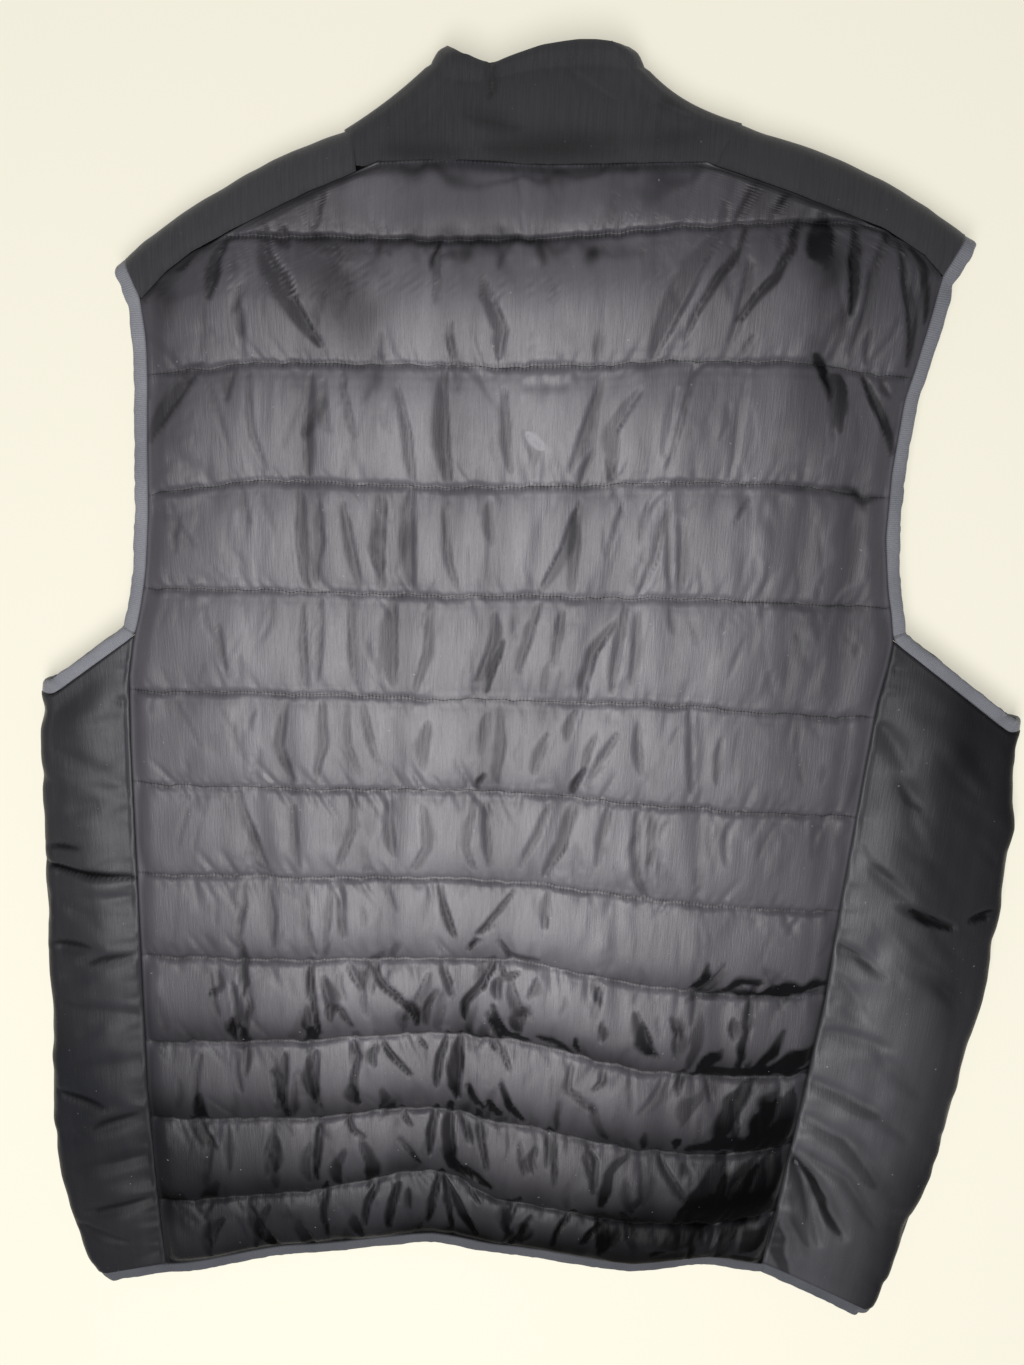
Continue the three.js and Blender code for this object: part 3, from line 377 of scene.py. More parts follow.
def chance_creases(seed, count, low, high, lean, widths, depths, lengths):
    """Lesser creases at random places, all leaning about the same way."""
    chance = np.random.default_rng(seed)
    creases = []
    for _ in range(count):
        x = chance.uniform(low[0], high[0])
        y = chance.uniform(low[1], high[1])
        angle = lean + chance.normal(0, 0.28)
        length = chance.uniform(*lengths)
        width = chance.uniform(*widths) * chance.choice([-1, 1])
        bow = chance.normal(0, 1.2)
        middle = (x + math.cos(angle) * length / 2 + bow, y + math.sin(angle) * length / 2)
        end = (x + math.cos(angle) * length, y + math.sin(angle) * length)
        creases.append((width, chance.uniform(*depths), (x, y), middle, end))
    return creases


def gathers(x, y, lines, seed):
    """Short pleats that the rows of stitching draw in on both sides, and how far off each row is, in mm."""
    chance = np.random.default_rng(seed)
    depth = np.zeros(x.shape)
    nearest = np.full(x.shape, 99.0)
    for line in lines:
        offset = y - line_y(np.full(x.shape, line), x)
        nearest = np.where(np.abs(offset) < np.abs(nearest), offset, nearest)
        for way in (-1, 1):
            at = -235.0
            while at < 215:
                at += chance.uniform(3.2, 7.5)
                length = chance.uniform(4, 10) if chance.random() < 0.75 else chance.uniform(12, 24)
                width = chance.uniform(0.9, 1.5) + length * 0.05
                deep = (chance.uniform(0.3, 0.8) + length * 0.03) * (0.7 if line < 6 else 1.3)
                fan = 0.3 * ease((at - 20) / 40) - 0.45 * ease((20 - at) / 60)
                slant = chance.normal(0, 0.2) + way * fan
                rows = (np.abs(offset) < length).any(axis=1)
                columns = (np.abs(x - at) < 4 * width + 12).any(axis=0)
                window = np.ix_(rows, columns)
                away = offset[window] * way
                aside = (x[window] - at - slant * away) / width
                fade_and_painted_light = np.clip(away / 1.5, 0, 1) * np.clip(1 - away / length, 0, 1)
                depth[window] += deep * np.exp(-aside * aside) * fade_and_painted_light
    return depth, nearest


def wall_mesh(name, outer, inner, cloth, **marks):
    """A closed piece of cloth between an outer and an inner skin, both grids of points in mm. Each square
    of the outer skin is split along the way its folds run."""
    rows, columns = outer.shape[:2]
    few_rows, few_columns = inner.shape[:2]
    number = np.arange(rows * columns).reshape(rows, columns)
    lining = rows * columns + np.arange(few_rows * few_columns).reshape(few_rows, few_columns)

    def quads(grid):
        squares = [grid[:-1, :-1], grid[:-1, 1:], grid[1:, 1:], grid[1:, :-1]]
        return np.stack(squares, axis=-1).reshape(-1, 4)

    corners = quads(number)
    level = outer[..., 2] + 4 * marks.get("shade", 0)
    slope = np.abs(level[:-1, :-1] - level[1:, 1:]) - np.abs(level[:-1, 1:] - level[1:, :-1])
    along = slope.ravel() <= 0
    faces = quads(lining)[:, ::-1].tolist()
    faces += corners[along][:, [0, 1, 2]].tolist() + corners[along][:, [0, 2, 3]].tolist()
    faces += corners[~along][:, [0, 1, 3]].tolist() + corners[~along][:, [1, 2, 3]].tolist()

    def close(one, two, turned):
        i = 0
        j = 0
        last_i = len(one) - 1
        last_j = len(two) - 1
        while i < last_i or j < last_j:
            step = j == last_j or (i < last_i and (i + 1) / last_i <= (j + 1) / last_j)
            face = [one[i], one[i + 1], two[j]] if step else [one[i], two[j + 1], two[j]]
            i += step
            j += not step
            faces.append([int(k) for k in (face if turned else face[::-1])])

    close(number[0], lining[0], False)
    close(number[-1], lining[-1], True)
    close(number[:, 0], lining[:, 0], True)
    close(number[:, -1], lining[:, -1], False)
    points = np.concatenate([outer.reshape(-1, 3), inner.reshape(-1, 3)]) * MM
    return piece(name, points, faces, cloth, {
        mark: np.concatenate([values.ravel(), np.zeros(inner.size // 3)]) for mark, values in marks.items()
    })


def piece(name, points, faces, cloth, marks=None):
    """A mesh object with its faces turned outwards, smooth shading and one material, on the vest's body."""
    triangles = np.array([(f[0], f[i], f[i + 1]) for f in faces for i in range(1, len(f) - 1)])
    a, b, c = (points[triangles[:, k]] for k in range(3))
    if np.einsum("ij,ij->", a, np.cross(b, c)) < 0:
        faces = [face[::-1] for face in faces]
    mesh = bpy.data.meshes.new(name)
    mesh.from_pydata(points.tolist(), [], faces)
    for mark, values in (marks or {}).items():
        attribute = mesh.attributes.new(mark, "FLOAT", "POINT")
        attribute.data.foreach_set("value", values.astype(np.float32))
    mesh.shade_smooth()
    mesh.materials.append(cloth)
    thing = bpy.data.objects.new(name, mesh)
    bpy.context.scene.collection.objects.link(thing)
    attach(thing, "vest")
    return thing


def add_node(tree, kind, **sockets):
    node = tree.nodes.new(kind)
    for name, value in sockets.items():
        if hasattr(node, name):
            setattr(node, name, value)
            continue
        socket = node.inputs[int(name[1:])] if name[0] == "_" else node.inputs[name.replace("_", " ")]
        if hasattr(value, "links"):
            tree.links.new(value, socket)
        else:
            socket.default_value = value
    return node


def stretched(tree, scale):
    place = add_node(tree, "ShaderNodeTexCoord").outputs["Object"]
    return add_node(tree, "ShaderNodeMapping", Vector=place, Scale=scale).outputs[0]


def noise(tree, scale, detail=2.0, roughness=0.5):
    place = stretched(tree, scale)
    return add_node(
        tree, "ShaderNodeTexNoise", Vector=place, Scale=1.0, Detail=detail, Roughness=roughness
    ).outputs["Fac"]


def marked(tree, mark):
    return add_node(tree, "ShaderNodeAttribute", attribute_name=mark).outputs["Fac"]


def maths(tree, operation, a, b=0.0, clamp=False):
    return add_node(tree, "ShaderNodeMath", operation=operation, use_clamp=clamp, _0=a, _1=b).outputs[0]


def spread(tree, value, low, high, to_low=0.0, to_high=1.0):
    return add_node(
        tree, "ShaderNodeMapRange", Value=value, From_Min=low, From_Max=high, To_Min=to_low, To_Max=to_high
    ).outputs[0]


def blend(tree, factor, one, two, mode="MIX"):
    node = add_node(tree, "ShaderNodeMix", data_type="RGBA", blend_type=mode)
    for socket, value in ((node.inputs[0], factor), (node.inputs[6], one), (node.inputs[7], two)):
        if hasattr(value, "links"):
            tree.links.new(value, socket)
        else:
            socket.default_value = value
    return node.outputs[2]


def dents(tree, height, distance, strength=1.0, under=None):
    node = add_node(tree, "ShaderNodeBump", Height=height, Distance=distance, Strength=strength)
    if under is not None:
        tree.links.new(under, node.inputs["Normal"])
    return node.outputs[0]


def new_cloth(name, roughness, specular, sheen, sheen_roughness):
    material = bpy.data.materials.new(name)
    material.use_nodes = True
    shader = material.node_tree.nodes["Principled BSDF"]
    shader.inputs["Roughness"].default_value = roughness
    shader.inputs["Specular IOR Level"].default_value = specular
    shader.inputs["Sheen Weight"].default_value = sheen
    shader.inputs["Sheen Roughness"].default_value = sheen_roughness
    return material, material.node_tree


def set_cloth(material, **sockets):
    tree = material.node_tree
    for name, value in sockets.items():
        tree.links.new(value, tree.nodes["Principled BSDF"].inputs[name.replace("_", " ")])
    return material


def satin(name, cool, warm, fade_and_painted_light, centre, gloss, scuff):
    """Satin nylon: fine upright threads, painted sheen streaks, a cool and a warm grey, painted light and
    shade, painted shade in the stitch pits.
    """
    material, tree = new_cloth(name, 0.45, gloss, 0.05, 0.4)
    drift = spread(tree, noise(tree, (11, 8, 11), 3), 0.35, 0.65)
    threads = noise(tree, (950, 70, 250), 3, 0.6)
    fine = noise(tree, (2600, 260, 900), 2)
    colour = blend(tree, drift, cool, warm)
    # Painted light: round the centre the colour turns to the lighter grey, where the window's light falls
    # brightest.
    place = stretched(tree, (1, 0.85, 1))
    reach = add_node(tree, "ShaderNodeVectorMath", operation="DISTANCE", _0=place, _1=centre)
    near = spread(tree, reach.outputs["Value"], 0.14, 0.34, 1, 0)
    colour = blend(tree, near, colour, fade_and_painted_light)
    # Painted sheen: upright streaks of lighter and darker satin.
    painted_sheen_streaks = spread(tree, noise(tree, (48, 6, 20), 3, 0.55), 0.3, 0.7, 0.82, 1.16)
    # Painted shade and painted highlights: the shade mark darkens the colour and the gloss, and lightens
    # them where it is below zero.
    shade = marked(tree, "shade")
    light = maths(tree, "MULTIPLY", maths(tree, "SUBTRACT", 1.0, shade), painted_sheen_streaks)
    colour = blend(tree, 1.0, colour, light, "MULTIPLY")
    thread_share = spread(tree, threads, 0.3, 0.7, 0.0, 0.3)
    colour = blend(tree, thread_share, colour, (0.62, 0.61, 0.66, 1), "MULTIPLY")
    gathered = marked(tree, "gather")
    apart = add_node(tree, "ShaderNodeSeparateXYZ", Vector=stretched(tree, (1, 1, 1))).outputs[0]
    sway = maths(tree, "MULTIPLY", noise(tree, (60, 60, 60), 1), 5.0)
    turns = maths(tree, "MULTIPLY_ADD", apart, 2 * math.pi / (TICK * MM))
    tree.links.new(sway, turns.node.inputs[2])
    even = spread(tree, maths(tree, "SINE", turns), 0.1, 0.9)
    odd = spread(tree, noise(tree, (430, 70, 60), 1, 0.4), 0.5, 0.6)
    even = maths(tree, "MULTIPLY", even, 0.6)
    tick = maths(tree, "ADD", even, maths(tree, "MULTIPLY", odd, 0.35), clamp=True)
    pull = spread(tree, noise(tree, (28, 6, 20), 1), 0.35, 0.62, 0.35, 0.95)
    # Painted shade in the stitch pits: dark ticks along the rows of stitching.
    stitch_pit_shade = maths(tree, "MULTIPLY", maths(tree, "MULTIPLY", tick, gathered), pull)
    colour = blend(tree, stitch_pit_shade, colour, (0.004, 0.004, 0.005, 1))
    if scuff:
        wear_and_painted_light = 0
        for end in scuff:
            place = add_node(tree, "ShaderNodeTexCoord").outputs["Object"]
            reach = add_node(tree, "ShaderNodeVectorMath", operation="DISTANCE", _0=place, _1=end)
            wear_and_painted_light = maths(tree, "ADD", wear_and_painted_light, reach.outputs["Value"])
        wear_and_painted_light = spread(tree, wear_and_painted_light, 0.0128, 0.0143, 1, 0)
        patchy = spread(tree, noise(tree, (600, 300, 500), 3), 0.3, 0.5, 0.55, 1)
        wear_and_painted_light = maths(tree, "MULTIPLY", wear_and_painted_light, patchy)
        colour = blend(tree, maths(tree, "MULTIPLY", wear_and_painted_light, 0.8), colour, (0.30, 0.29, 0.32, 1))
    lint = spread(tree, noise(tree, (420, 380, 420), 0), 0.87, 0.89)
    colour = blend(tree, maths(tree, "MULTIPLY", lint, 0.3), colour, (0.4, 0.4, 0.42, 1))
    glint = maths(tree, "MULTIPLY", spread(tree, near, 0, 1, 0.3 * gloss, gloss), light, clamp=True)
    rough = maths(tree, "MULTIPLY_ADD", threads, 0.14)
    rough.node.inputs[2].default_value = 0.38
    pits = dents(tree, maths(tree, "SUBTRACT", 1.0, stitch_pit_shade), 0.15 * MM)
    weave = dents(tree, threads, 0.16 * MM, 1.0, pits)
    skin = dents(tree, fine, 0.05 * MM, 1.0, weave)
    return set_cloth(material, Base_Color=colour, Specular_IOR_Level=glint, Roughness=rough, Normal=skin)


# Two greys, the painted light grey under the window and the centre of that painted light, the gloss, and
# the ends of a worn spot.
back_satin = satin(
    "back_satin", (0.010, 0.010, 0.014, 1), (0.014, 0.013, 0.016, 1), (0.152, 0.143, 0.162, 1),
    (-0.02, 0.05, 0.02), 0.8, ((-0.0025, 0.2055, 0.027), (0.0065, 0.1975, 0.027))
)


def channel_steps(first, steps):
    """Row numbers across the channels, closer together beside each row of stitching."""
    rows = []
    for line, count in enumerate(steps, first):
        t = np.linspace(0, 1, count, endpoint=False)
        rows.append(line + t - 0.35 * np.sin(2 * np.pi * t) / (2 * np.pi))
    return np.append(np.concatenate(rows), first + len(steps))


CHANNEL_ROWS = [30, 36, 34, 28] + [27] * 8
back_rows = channel_steps(0, CHANNEL_ROWS)
back_columns = 270
left = meet_edge(back_rows, lambda y: edge_x("left", y), -200)
right = meet_edge(back_rows, lambda y: edge_x("right", y), 190)
share = np.linspace(0, 1, back_columns + 1)[None, :] * np.ones((len(back_rows), 1))
row = back_rows[:, None] * np.ones((1, back_columns + 1))
x = left[:, None] + (right - left)[:, None] * share
y = row_y(row, x)


def back_inside(share, row):
    across = ease(np.minimum(share, 1 - share) / 0.3)
    along = ease(np.minimum(row, 12 - row) / 2)
    return BACK_INSIDE + BACK_RISE * across * along


def settled(points, pinned, grown, pressure, frames):
    """Heights in mm of a sheet that is sewn down at its pinned points, cut a little too large for its
    place, and pushed up from below until it has buckled. Blender's cloth works it out without gravity."""
    rows, columns = points.shape[:2]
    number = np.arange(rows * columns).reshape(rows, columns)
    faces = np.stack([number[:-1, :-1], number[1:, :-1], number[1:, 1:], number[:-1, 1:]], axis=-1)
    mesh = bpy.data.meshes.new("settling")
    mesh.from_pydata((points.reshape(-1, 3) * MM).tolist(), [], faces.reshape(-1, 4).tolist())
    sheet = bpy.data.objects.new("settling", mesh)
    bpy.context.scene.collection.objects.link(sheet)
    sheet.vertex_groups.new(name="sewn").add(np.flatnonzero(pinned.ravel()).tolist(), 1.0, "REPLACE")
    sheet.shape_key_add(name="in place")
    cut = sheet.shape_key_add(name="as cut")
    cut.data.foreach_set("co", (grown.reshape(-1, 3) * MM).astype(np.float32).ravel())
    cloth = sheet.modifiers.new("cloth", "CLOTH")
    nylon = {
        "quality": 5, "mass": 0.1, "tension_stiffness": 40, "compression_stiffness": 40,
        "shear_stiffness": 13, "bending_stiffness": 0.1, "air_damping": 2, "use_pressure": True,
        "uniform_pressure_force": pressure, "vertex_group_mass": "sewn", "rest_shape_key": cut,
    }
    for setting, value in nylon.items():
        setattr(cloth.settings, setting, value)
    cloth.settings.effector_weights.gravity = 0
    cloth.point_cache.frame_start = 1
    cloth.point_cache.frame_end = frames
    for at in range(1, frames + 1):
        bpy.context.scene.frame_set(at)
    result = sheet.evaluated_get(bpy.context.evaluated_depsgraph_get()).to_mesh()
    places = np.empty(rows * columns * 3, np.float32)
    result.vertices.foreach_get("co", places)
    bpy.context.scene.frame_set(1)
    bpy.data.objects.remove(sheet)
    bpy.data.meshes.remove(mesh)
    return places.reshape(rows, columns, 3)[..., 2] / MM


def back_settled():
    """The back's satin between its rows of stitching, 5 % too wide: its lift at places across and down."""
    steps = 14
    rows = np.arange(12 * steps + 1) / steps
    share = np.linspace(0, 1, 117)[None, :] * np.ones((len(rows), 1))
    row = rows[:, None] * np.ones(share.shape)
    start = meet_edge(rows, lambda y: edge_x("left", y), -200)[:, None]
    end = meet_edge(rows, lambda y: edge_x("right", y), 190)[:, None]
    x = start + (end - start) * share
    y = row_y(row, x)
    points = np.stack([x, y, 0.3 * rumple(x, y, 14, 5)], axis=-1)
    sewn = (np.arange(len(rows)) % steps == 0)[:, None] | (share == 0) | (share == 1)
    lift = settled(points, sewn, points * (1.05, 1.015, 0), 2, 20)
    return rows, share[0], np.where(sewn, 0, lift)


def read_off(rows, shares, heights, row, share):
    """Heights between the places of a grid."""
    i = np.clip(np.searchsorted(rows, row, side="right") - 1, 0, len(rows) - 2)
    j = np.clip(np.searchsorted(shares, share, side="right") - 1, 0, len(shares) - 2)
    a = ease((row - rows[i]) / (rows[i + 1] - rows[i]))
    b = ease((share - shares[j]) / (shares[j + 1] - shares[j]))
    near = heights[i, j] * (1 - b) + heights[i, j + 1] * b
    far = heights[i + 1, j] * (1 - b) + heights[i + 1, j + 1] * b
    return near * (1 - a) + far * a


BUCKLING = 3.0
BUCKLING_LIMIT = 2.5


def seam_lip(from_seam):
    """The cloth turns down into a seam and stands up a little just beside it."""
    return 0.45 * np.exp(-(from_seam / 0.7) ** 2) - 0.3 * np.exp(-((from_seam - 1.6) / 0.8) ** 2)


def back_outside(x, y, share, row, width):
    """The upper skin: flat pillows between narrow grooves, with their troughs, pleats and tilted faces, and
    its painted shade and painted highlights.
    """
    in_channel = row - np.floor(row)
    channel = np.floor(np.minimum(row, 11.99)).astype(int)
    height = line_y(channel, x) - line_y(channel + 1, x)
    from_line = np.minimum(in_channel, 1 - in_channel) * height
    from_seam = np.minimum(share, 1 - share) * width
    from_end = np.minimum(row, 12 - row) * 60
    dome = 3.2 * ease(from_seam / 12) * ease(from_end / 10)
    dome = dome + 4.4 * ease(from_seam / 105) * ease(from_end / 70)
    low_right = ease((row - 6.5) / 4) * ease((x + 40) / 190)
    low = ease((row - 5) / 5)
    crown = 1.2 + 1.6 * low + 2.6 * low_right + 0.5 * rumple(x, 140.0 * channel, 90, 3)
    crown = crown * (1 - np.abs(1 - 2 * in_channel) ** 2.6)
    groove = np.exp(-(from_line / 1.4) ** 2) * ease(from_seam / 9)
    sunk = 1.3 + 0.5 * ease((row - 4.5) / 4) + 1.0 * np.exp(-((row - 1) / 0.4) ** 2)
    groove *= (row > 0.4) * (row < 11.6) * sunk
    free = 1 - np.exp(-(from_line / 1.6) ** 2)
    edge = ease(from_seam / 7)
    small = chance_creases(11, 300, (-225, -345), (200, 300), math.pi / 2, (3, 6), (0.15, 0.55), (9, 34))
    small += chance_creases(12, 90, (-200, -350), (190, -130), math.pi / 2, (4, 8), (0.6, 1.8), (12, 40))
    low_part = ease((row - 6.5) / 3)
    troughs = (0.42 + 0.22 * low_part) * add_creases(x, y, BACK_CREASES) + add_creases(x, y, small)
    pleats, nearest = gathers(x, y, range(0, 12), 5)
    tilt = 0.75 * rumple(x, y, 40, 21)
    buckled = BUCKLING * read_off(*back_settled(), row, share)
    buckled = np.clip(buckled, -BUCKLING_LIMIT, BUCKLING_LIMIT)
    tilt = tilt + buckled * (0.3 + 0.7 * ease((row - 0.8) / 0.8))
    puff = crown + (tilt - troughs) * free - pleats
    hollows = add_creases(x, y, BACK_HOLLOWS, "soft")
    z = BACK_INSIDE + SEAM_WALL + dome - groove + edge * (puff - hollows) - seam_lip(from_seam)
    z = np.maximum(z, back_inside(share, row) + 1.5)
    # Painted shade in the troughs, with a thin painted highlight beside each crisp edge, and fainter
    # painted shade in the lesser creases.
    turned = [
        (width, min(0.8, 0.14 + 0.1 * deep + 1.2 * max(0, deep / abs(width) - 0.45)), *places)
        for width, deep, *places in BACK_CREASES
    ]
    turned += [(1.3 * width, 0.3 * deep, *places) for width, deep, *places in small]
    uneven_x = x + 1.1 * rumple(x, y, 7, 33)
    shade = np.clip(add_creases(uneven_x, y, turned, "patch"), 0, 0.65) * (0.35 + 0.65 * free)
    # Painted shade in the wide hollows.
    shade += 0.1 * np.clip(hollows, 0, 2)
    # Painted shade and painted highlights from the back's table of shades, and the painted shade leaves on
    # top.
    uneven_x = x + 6 * rumple(x, y, 12, 34)
    uneven_y = y + 3.5 * rumple(x, y, 9, 35)
    shade += add_creases(uneven_x, uneven_y, BACK_SHADES, "soft")
    uneven_x = x + 1.5 * rumple(x, y, 8, 36)
    shade = np.maximum(shade, add_creases(uneven_x, uneven_y, PAINTED_SHADE_LEAVES, "patch"))
    # Painted shade on the lower part of each low channel, and a broken painted highlight just under each
    # row.
    underside = ease((in_channel - 0.3) / 0.7) ** 1.3 * (1 + 0.35 * rumple(x, y, 22, 37))
    lit = np.clip(0.6 + 1.1 * rumple(x, 40 * channel, 4.5, 38), 0, 1)
    lit = np.exp(-((in_channel * height - 2) / 3.5) ** 2) * lit
    shade += low_part * (0.6 * underside - 0.3 * lit)
    # Painted shade along each row of stitching.
    sewn = (0.3 + 0.35 * low_part + 0.15 * rumple(x, y, 6, 39)) * np.exp(-(from_line / 0.9) ** 2)
    shade += sewn * (row > 0.5) * (row < 11.5)
    shade = np.clip(shade, -0.45, 0.92)
    # A painted highlight just beside the side seams, and painted shade right at the seam of the low rows on
    # the right.
    low_seam = ease((row - 6) / 2) * (share > 0.5)
    shade = shade - 0.35 * np.exp(-((from_seam - 1.5) / 0.8) ** 2) * (row > 2.2) * (1 - low_seam)
    shade = shade + (0.95 - np.maximum(shade, 0)) * np.exp(-(from_seam / 2.2) ** 2) * low_seam
    # Where the painted shade of the stitch pits goes, beside each row of stitching.
    gather = np.exp(-(nearest / 1.5) ** 2) * ease(from_seam / 4) * (1 - 0.8 * low_part)
    return z, gather, shade


outside, gather, shade = back_outside(x, y, share, row, (right - left)[:, None])
scallop = 0.7 * rumple(x, 0 * y, 5, 31) + 0.7 * rumple(x, 30 * np.round(row), 14, 32)
near_line = np.exp(-((row - np.round(row)) * 60 / 7) ** 2) * (row > 0.5) * (row < 11.5)
back_outer = np.stack([x, y + scallop * near_line, outside], axis=-1)
lining_rows = np.linspace(0, len(back_rows) - 1, 61).round().astype(int)
lining_columns = np.linspace(0, back_columns, 41).round().astype(int)
lining = np.ix_(lining_rows, lining_columns)
back_inner = np.stack([x[lining], y[lining], back_inside(share[lining], row[lining])], axis=-1)
back = wall_mesh("back_panel_quilted", back_outer, back_inner, back_satin, gather=gather, shade=shade)
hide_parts("back_panel")


# Side panels
# One smooth padded piece on each side, from the seam with the back round the side fold to the seam with
# the front. Nothing is sewn through it, so it only creases where the back's rows pull at its seam.
SIDE_FOLDS = np.array([
    [-388, -277, 262], [-370, -285, 268], [-340, -292, 273], [-300, -298, 279], [-260, -299, 286],
    [-220, -297, 291], [-180, -294, 294], [-140, -291, 296], [-100, -290, 299], [-60, -287, 298],
    [-20, -283, 297], [20, -282, 291], [60, -277, 291],
])
SIDE_ENDS = np.array([
    [0, 84, 96, -365, -346], [0.2, 73, 75, -366, -353], [0.4, 62, 61, -368, -364],
    [0.6, 54.5, 51, -371, -374], [0.8, 48, 45, -375, -382], [1, 43, 42, -378, -386],
])
FOLD_RADIUS = 9.5
SIDE_SEAM_GAP = 0.1
SIDE_BULGE = 4
SIDE_WALL = 6

SIDE_CREASES = {
    "left": [
        (7, 1.8, (-263, -49), (-284, -50)), (6, 3.2, (-231, -69), (-258, -68), (-287, -62)),
        (10, 2.0, (-256, -117), (-285, -117)), (9, 2.4, (-232, -122), (-268, -128)),
        (12, 2.2, (-234, -165), (-282, -160)), (9, 2.2, (-262, -236), (-292, -227)),
        (11, 2.4, (-232, -240), (-276, -254)), (12, 2.0, (-236, -276), (-282, -284)),
        (10, 2.4, (-235, -309), (-280, -322)), (9, 2.0, (-255, -344), (-286, -334)),
        (14, 1.8, (-232, -8), (-270, 14)), (16, 1.6, (-236, -200), (-280, -206)),
    ],
    "right": [
        (6, 3.4, (233, -69), (250, -76), (268, -82)), (5, 3.0, (277, -77), (291, -72)),
        (9, 2.6, (201, -99), (214, -106), (231, -119)), (12, 2.4, (196, -158), (240, -170)),
        (12, 3.0, (186, -254), (206, -278), (230, -318)), (10, 2.0, (214, -44), (238, -64)),
        (13, 1.8, (222, 14), (242, -10)), (12, 2.0, (210, 44), (226, 20)), (14, 1.8, (252, 40), (274, 14)),
        (11, 2.2, (195, -197), (234, -215), (262, -240)), (12, 2.0, (194, -224), (231, -246), (256, -280)),
        (9, 2.6, (190, -250), (226, -272), (250, -310)), (13, 1.8, (236, -176), (266, -206)),
        (9, 2.6, (188, -258), (204, -290), (214, -325)), (12, 2.2, (190, -306), (206, -340)),
        (12, 1.8, (246, -112), (282, -134)),
    ],
}
# Painted shade along the side panels' creases: width, share of light lost, places.
SIDE_SHADE_STROKES = {
    "left": [
        (5, 0.75, (-231, -69), (-258, -68), (-284, -63)), (3, 0.5, (-263, -49), (-280, -50)),
        (4, 0.5, (-236, -122), (-262, -128)), (4, 0.4, (-262, -117), (-285, -117)),
        (4, 0.4, (-240, -240), (-270, -252)), (4, 0.35, (-240, -309), (-274, -320)),
        (4, 0.4, (-262, -236), (-288, -228)),
    ],
    "right": [
        (4, 0.75, (240, -72), (250, -76), (266, -82)), (3, 0.6, (279, -77), (290, -72)),
        (4, 0.4, (201, -99), (214, -106), (231, -119)), (6, 0.55, (188, -254), (206, -278), (226, -316)),
        (8, 0.3, (194, -200), (214, -208), (240, -222)), (9, 0.3, (194, -228), (220, -244), (246, -276)),
        (10, 0.35, (190, -262), (198, -290), (208, -326)), (10, 0.5, (184, -300), (190, -330), (196, -356)),
        (5, 0.3, (206, -30), (226, -50)), (4, 0.3, (222, 10), (236, -6)),
    ],
}


def outward(grid, row, column):
    """Directions out of a grid of points, which face up at the place given."""
    normal = np.cross(np.gradient(grid, axis=1), np.gradient(grid, axis=0))
    normal = normal / np.maximum(np.linalg.norm(normal, axis=-1, keepdims=True), 1e-9)
    return -normal if normal[row, column, 2] < 0 else normal


def pushed(grid, facing, push):
    """The grid moved along its outward directions, and kept above the table."""
    moved = grid + facing * push[..., None]
    moved[..., 2] = np.maximum(moved[..., 2], 0)
    return moved


def resampled(points, count):
    """The same run of points with another number of them, on a smooth curve through the old ones."""
    last = len(points) - 1
    t = np.linspace(0, last, count)
    i = np.clip(t.astype(int), 0, last - 1)
    f = (t - i).reshape((-1,) + (1,) * (points.ndim - 1))
    before = points[np.maximum(i - 1, 0)]
    here = points[i]
    there = points[i + 1]
    after = points[np.minimum(i + 2, last)]
    bend = 2 * before - 5 * here + 4 * there - after
    twist = -before + 3 * here - 3 * there + after
    return here + 0.5 * f * ((there - before) + f * (bend + f * twist))


def folded_rows(seam, fold, lower, out, seam_z, bulge, base_z, counts):
    """Rows that run from a seam along the upper layer, round a fold and back under it."""
    upper_steps, arc_steps, lower_steps = counts
    rows = []
    for s, f, low, o, b, base in zip(seam, fold, lower, out, bulge, base_z):
        t = np.linspace(0, 1, upper_steps)[:, None]
        top = s + (f - s) * t
        top_z = seam_z + (2 * FOLD_RADIUS - seam_z) * t + b * np.sin(np.pi * t)
        angle = np.linspace(np.pi / 2, -np.pi / 2, arc_steps + 2)[1:-1, None]
        radius = FOLD_RADIUS - base / 2
        turn = f + o * FOLD_RADIUS * np.cos(angle)
        turn_z = base + radius + radius * np.sin(angle)
        t = np.linspace(0, 1, lower_steps)[:, None]
        under = f + (low - f) * t
        under_z = np.where(t == 1, EDGE_LIFT, base + (EDGE_LIFT - base) * ease((t - 0.9) / 0.1))
        rows.append(np.concatenate([
            np.hstack([top, top_z]), np.hstack([turn, turn_z]), np.hstack([under, under_z]),
        ]))
    return np.array(rows)


# Centre of the painted light from the window on each side.
SIDE_PAINTED_LIGHT = {"left": (0, 0, 0.02), "right": (0.14, -0.204, 0.02)}
side_outer = {}
side_inner = {}


